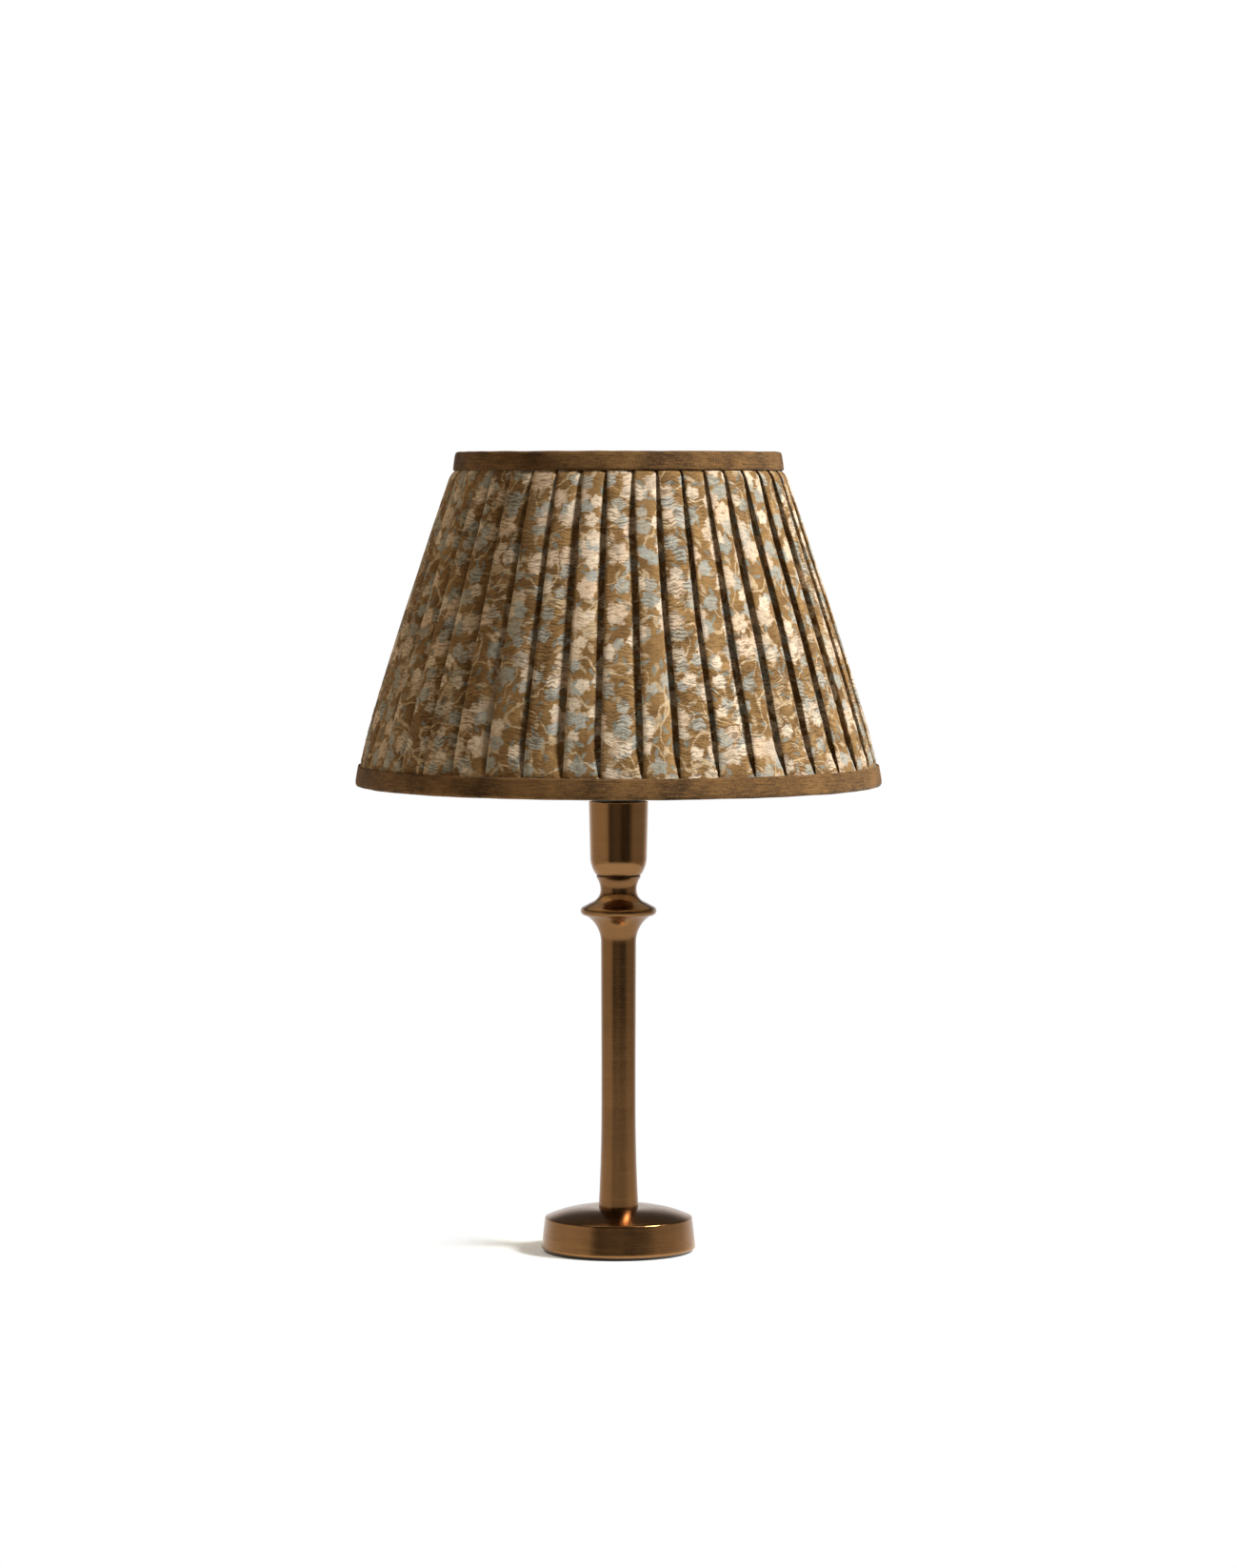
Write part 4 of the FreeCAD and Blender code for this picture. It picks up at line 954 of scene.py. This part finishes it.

# %% [markdown]
# Both bindings and the lining are strips closed into a ring, so one helper spins each from its section.
# An open section makes an open strip: unlike the foot, it has no inside, and only the bindings get a thickness later.

# %% Spin a strip of cloth
def cloth_ring(name, section, node, material, wobble=0.25):
    """A strip of cloth spun about the lamp's axis from its section, with its flat size as pattern."""
    ring = bmesh.new()
    points = [ring.verts.new((radius * MM, 0.0, height * MM)) for radius, height in section]
    edges = [ring.edges.new(pair) for pair in zip(points, points[1:])]
    bmesh.ops.subdivide_edges(ring, edges=edges, cuts=2)
    bmesh.ops.spin(ring, geom=ring.verts[:] + ring.edges[:], cent=(0, 0, 0), axis=(0, 0, 1),
                   angle=2 * math.pi, steps=288, use_merge=True)
    bmesh.ops.remove_doubles(ring, verts=ring.verts, dist=SAME_SPOT)
    bmesh.ops.recalc_face_normals(ring, faces=ring.faces)
    for face in ring.faces:
        face.smooth = True
    lay_pattern(ring, sum(radius for radius, _ in section) / len(section) * MM)
    push_about(ring, wobble)
    piece = as_piece(ring, name, material)
    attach(piece, "shade")
    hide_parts(node)
    return piece


print("strips of cloth can be spun")

# %% [markdown]
# Each binding is folded over an end of the shade: along its outside, round the ring, and a little way back inside.
# The section follows that way as a row of radii and heights. A Solidify modifier then gives the linen its thickness.

# %% Sew on the bindings
LINEN_THICKNESS = 0.0006

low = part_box("bottom_trim")[0].z / MM
bottom_binding = cloth_ring("bottom_binding", [
    (147.5, low + 11.7), (148.2, low + 11.6), (148.9, low + 8.0), (149.7, low + 3.4), (149.8, low + 1.6),
    (149.2, low + 0.5), (147.8, low + 0.1), (144.6, low + 0.2), (142.2, low + 1.0), (141.4, low + 4.0),
    (139.8, low + 8.0),
], "bottom_trim", BINDING)
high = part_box("top_trim")[1].z / MM
top_binding = cloth_ring("top_binding", [
    (93.2, high - 10.7), (93.9, high - 10.5), (93.6, high - 7.0), (93.0, high - 3.0), (92.6, high - 1.3),
    (91.9, high - 0.4), (90.4, high - 0.1), (86.6, high - 0.3), (84.4, high - 1.2), (84.7, high - 4.0),
    (86.0, high - 8.0),
], "top_trim", BINDING)
for binding, length, width in ((bottom_binding, 0.925, 0.031), (top_binding, 0.565, 0.031)):
    thick = binding.modifiers.new("cloth_thickness", "SOLIDIFY")
    thick.thickness = LINEN_THICKNESS
    thick.offset = -1.0
print("bindings sewn on")

# %% [markdown]
# Inside the frame hangs a plain cream lining. It shows from below, and it is what the light of the bulb falls on.
# A simulated cloth would hang in folds. This one is pulled tight from ring to ring, so it is a spun cone,
# pushed about less than the bindings.

# %% Line the shade
LINING_WIDE, LINING_NARROW = 142.4, 84.9
lining_low, lining_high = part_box("lining")
lower, upper = lining_low.z / MM, lining_high.z / MM
slope = (LINING_NARROW - LINING_WIDE) / (upper - lower)
lining_cloth = cloth_ring("lining_cloth", [
    (LINING_WIDE - 0.2, lower - 0.6),
    (128.0, lower + (128.0 - LINING_WIDE) / slope),
    (106.0, lower + (106.0 - LINING_WIDE) / slope),
    (85.2, upper - 0.5),
], "lining", LINING, wobble=0.12)
print("lining hung")

# %% [markdown]
# The frame wires, the rings and the lampholder are plain industrial finishes: white powder coat, zinc, black moulding.
# Each still has its grain: orange peel in the coating, faint flow marks in the moulding, a dull bloom on the zinc.

# %% Industrial finishes
def coated(name, tone, rough, grain=900.0, depth=0.00003, metallic=0.0):
    """A coated or moulded surface with fine grain and slight unevenness of tone."""
    finish = Finish(name, Metallic=metallic)
    peel = finish.cloud(finish.place(scale=(grain, grain, grain)), 1.0, 2.0)
    mottle = finish.cloud(finish.place(scale=(60, 60, 60)), 1.0, 3.0)
    colour = finish.stops(mottle * 0.7 + peel * 0.3, [(0.3, toned(tone, 0.85)), (0.7, toned(tone, 1.12))])
    finish.emboss(peel, depth)
    return finish.paint(Base_Color=colour, Roughness=rough + (mottle - 0.5) * 0.15)


dress(coated("frame_white_coat", (0.78, 0.77, 0.74), 0.42),
      "bottom_ring", "top_ring", "frame_struts", "spider_arms", "carrier_ring")
dress(coated("holder_black_moulding", (0.018, 0.018, 0.019), 0.32),
      "holder_cap", "holder_skirt", "support_ring", "clamp_ring")
dress(coated("bush_black_moulding", (0.025, 0.024, 0.023), 0.45), "inlet_bush")
dress(coated("zinc_plate", (0.52, 0.52, 0.54), 0.34, 500.0, 0.00004, metallic=1.0),
      "threaded_rod", "foot_nut", "foot_washer", "cup_nut", "terminal_screws")
dress(coated("insert_porcelain", (0.84, 0.83, 0.79), 0.16, 300.0, 0.00002), "holder_insert")
dress(coated("contact_brass", (0.72, 0.52, 0.22), 0.28, 700.0, metallic=1.0), "screw_shell", "centre_contact")
dress(coated("bulb_cap_metal", (0.74, 0.72, 0.68), 0.26, 700.0, metallic=1.0), "bulb_cap", "bulb_tip")
dress(coated("bulb_black_glass", (0.012, 0.012, 0.014), 0.10, 500.0, 0.00001), "bulb_insulator")
dress(coated("filament_phosphor", (0.90, 0.62, 0.20), 0.55, 1500.0), "filaments")
print("industrial finishes on the frame and the holder")

# %% [markdown]
# The bulb and the stem inside it are clear glass. A Principled shader that lets all light through makes real glass,
# and gets a faint smear in its roughness, because a bulb that was handled is never quite clean.

# %% Clear glass
clear = Finish("bulb_clear_glass", Transmission_Weight=1.0, IOR=1.45)
smear = clear.cloud(clear.place(scale=(90, 90, 40)), 1.0, 3.0)
dress(clear.paint(Base_Color=(0.99, 0.99, 0.98), Roughness=0.02 + smear * 0.03), "bulb_glass", "bulb_stem")
print("clear glass on the bulb")

# %% [markdown]
# The foot stands on a disc of black felt. Only its dark edge shows, so a plain disc is enough, with its rim rounded
# over and a fuzz of fine bump and sheen. Loose fibres would be finer than the picture can hold.

# %% Felt pad
RIM_ROUND = 0.3 * MM
pad_low, pad_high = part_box("felt_pad")
felt = bmesh.new()
bmesh.ops.create_cone(felt, cap_ends=True, segments=160, radius1=pad_high.x, radius2=pad_high.x,
                      depth=pad_high.z - pad_low.z, matrix=Matrix.Translation((0, 0, (pad_high.z + pad_low.z) / 2)))
rim_edges = [edge for edge in felt.edges if len(edge.link_faces) == 2 and edge.calc_face_angle(0.0) > 1.0]
bmesh.ops.bevel(felt, geom=rim_edges, offset=RIM_ROUND, offset_type="OFFSET", segments=2, profile=0.5,
                affect="EDGES", material=-1)
for face in felt.faces:
    # Only the two flat ends have many sides.
    face.smooth = len(face.verts) < 10

felt_finish = Finish("black_felt", Sheen_Weight=0.5, Sheen_Roughness=0.6)
fuzz = felt_finish.cloud(felt_finish.place(scale=(1400, 1400, 1400)), 1.0, 4.0, 0.7)
lint = felt_finish.cloud(felt_finish.place(scale=(180, 180, 180)), 1.0, 3.0, 0.6)
felt_tone = felt_finish.stops(fuzz, [(0.3, (0.006, 0.006, 0.007)), (0.7, (0.030, 0.029, 0.030))])
felt_finish.emboss(fuzz * 0.7 + lint * 0.3, 0.0003)
felt_disc = as_piece(felt, "felt_disc", felt_finish.paint(Base_Color=felt_tone, Roughness=0.92 + lint * 0.05))
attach(felt_disc, "stand")
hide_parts("felt_pad")
print("felt pad under the foot")
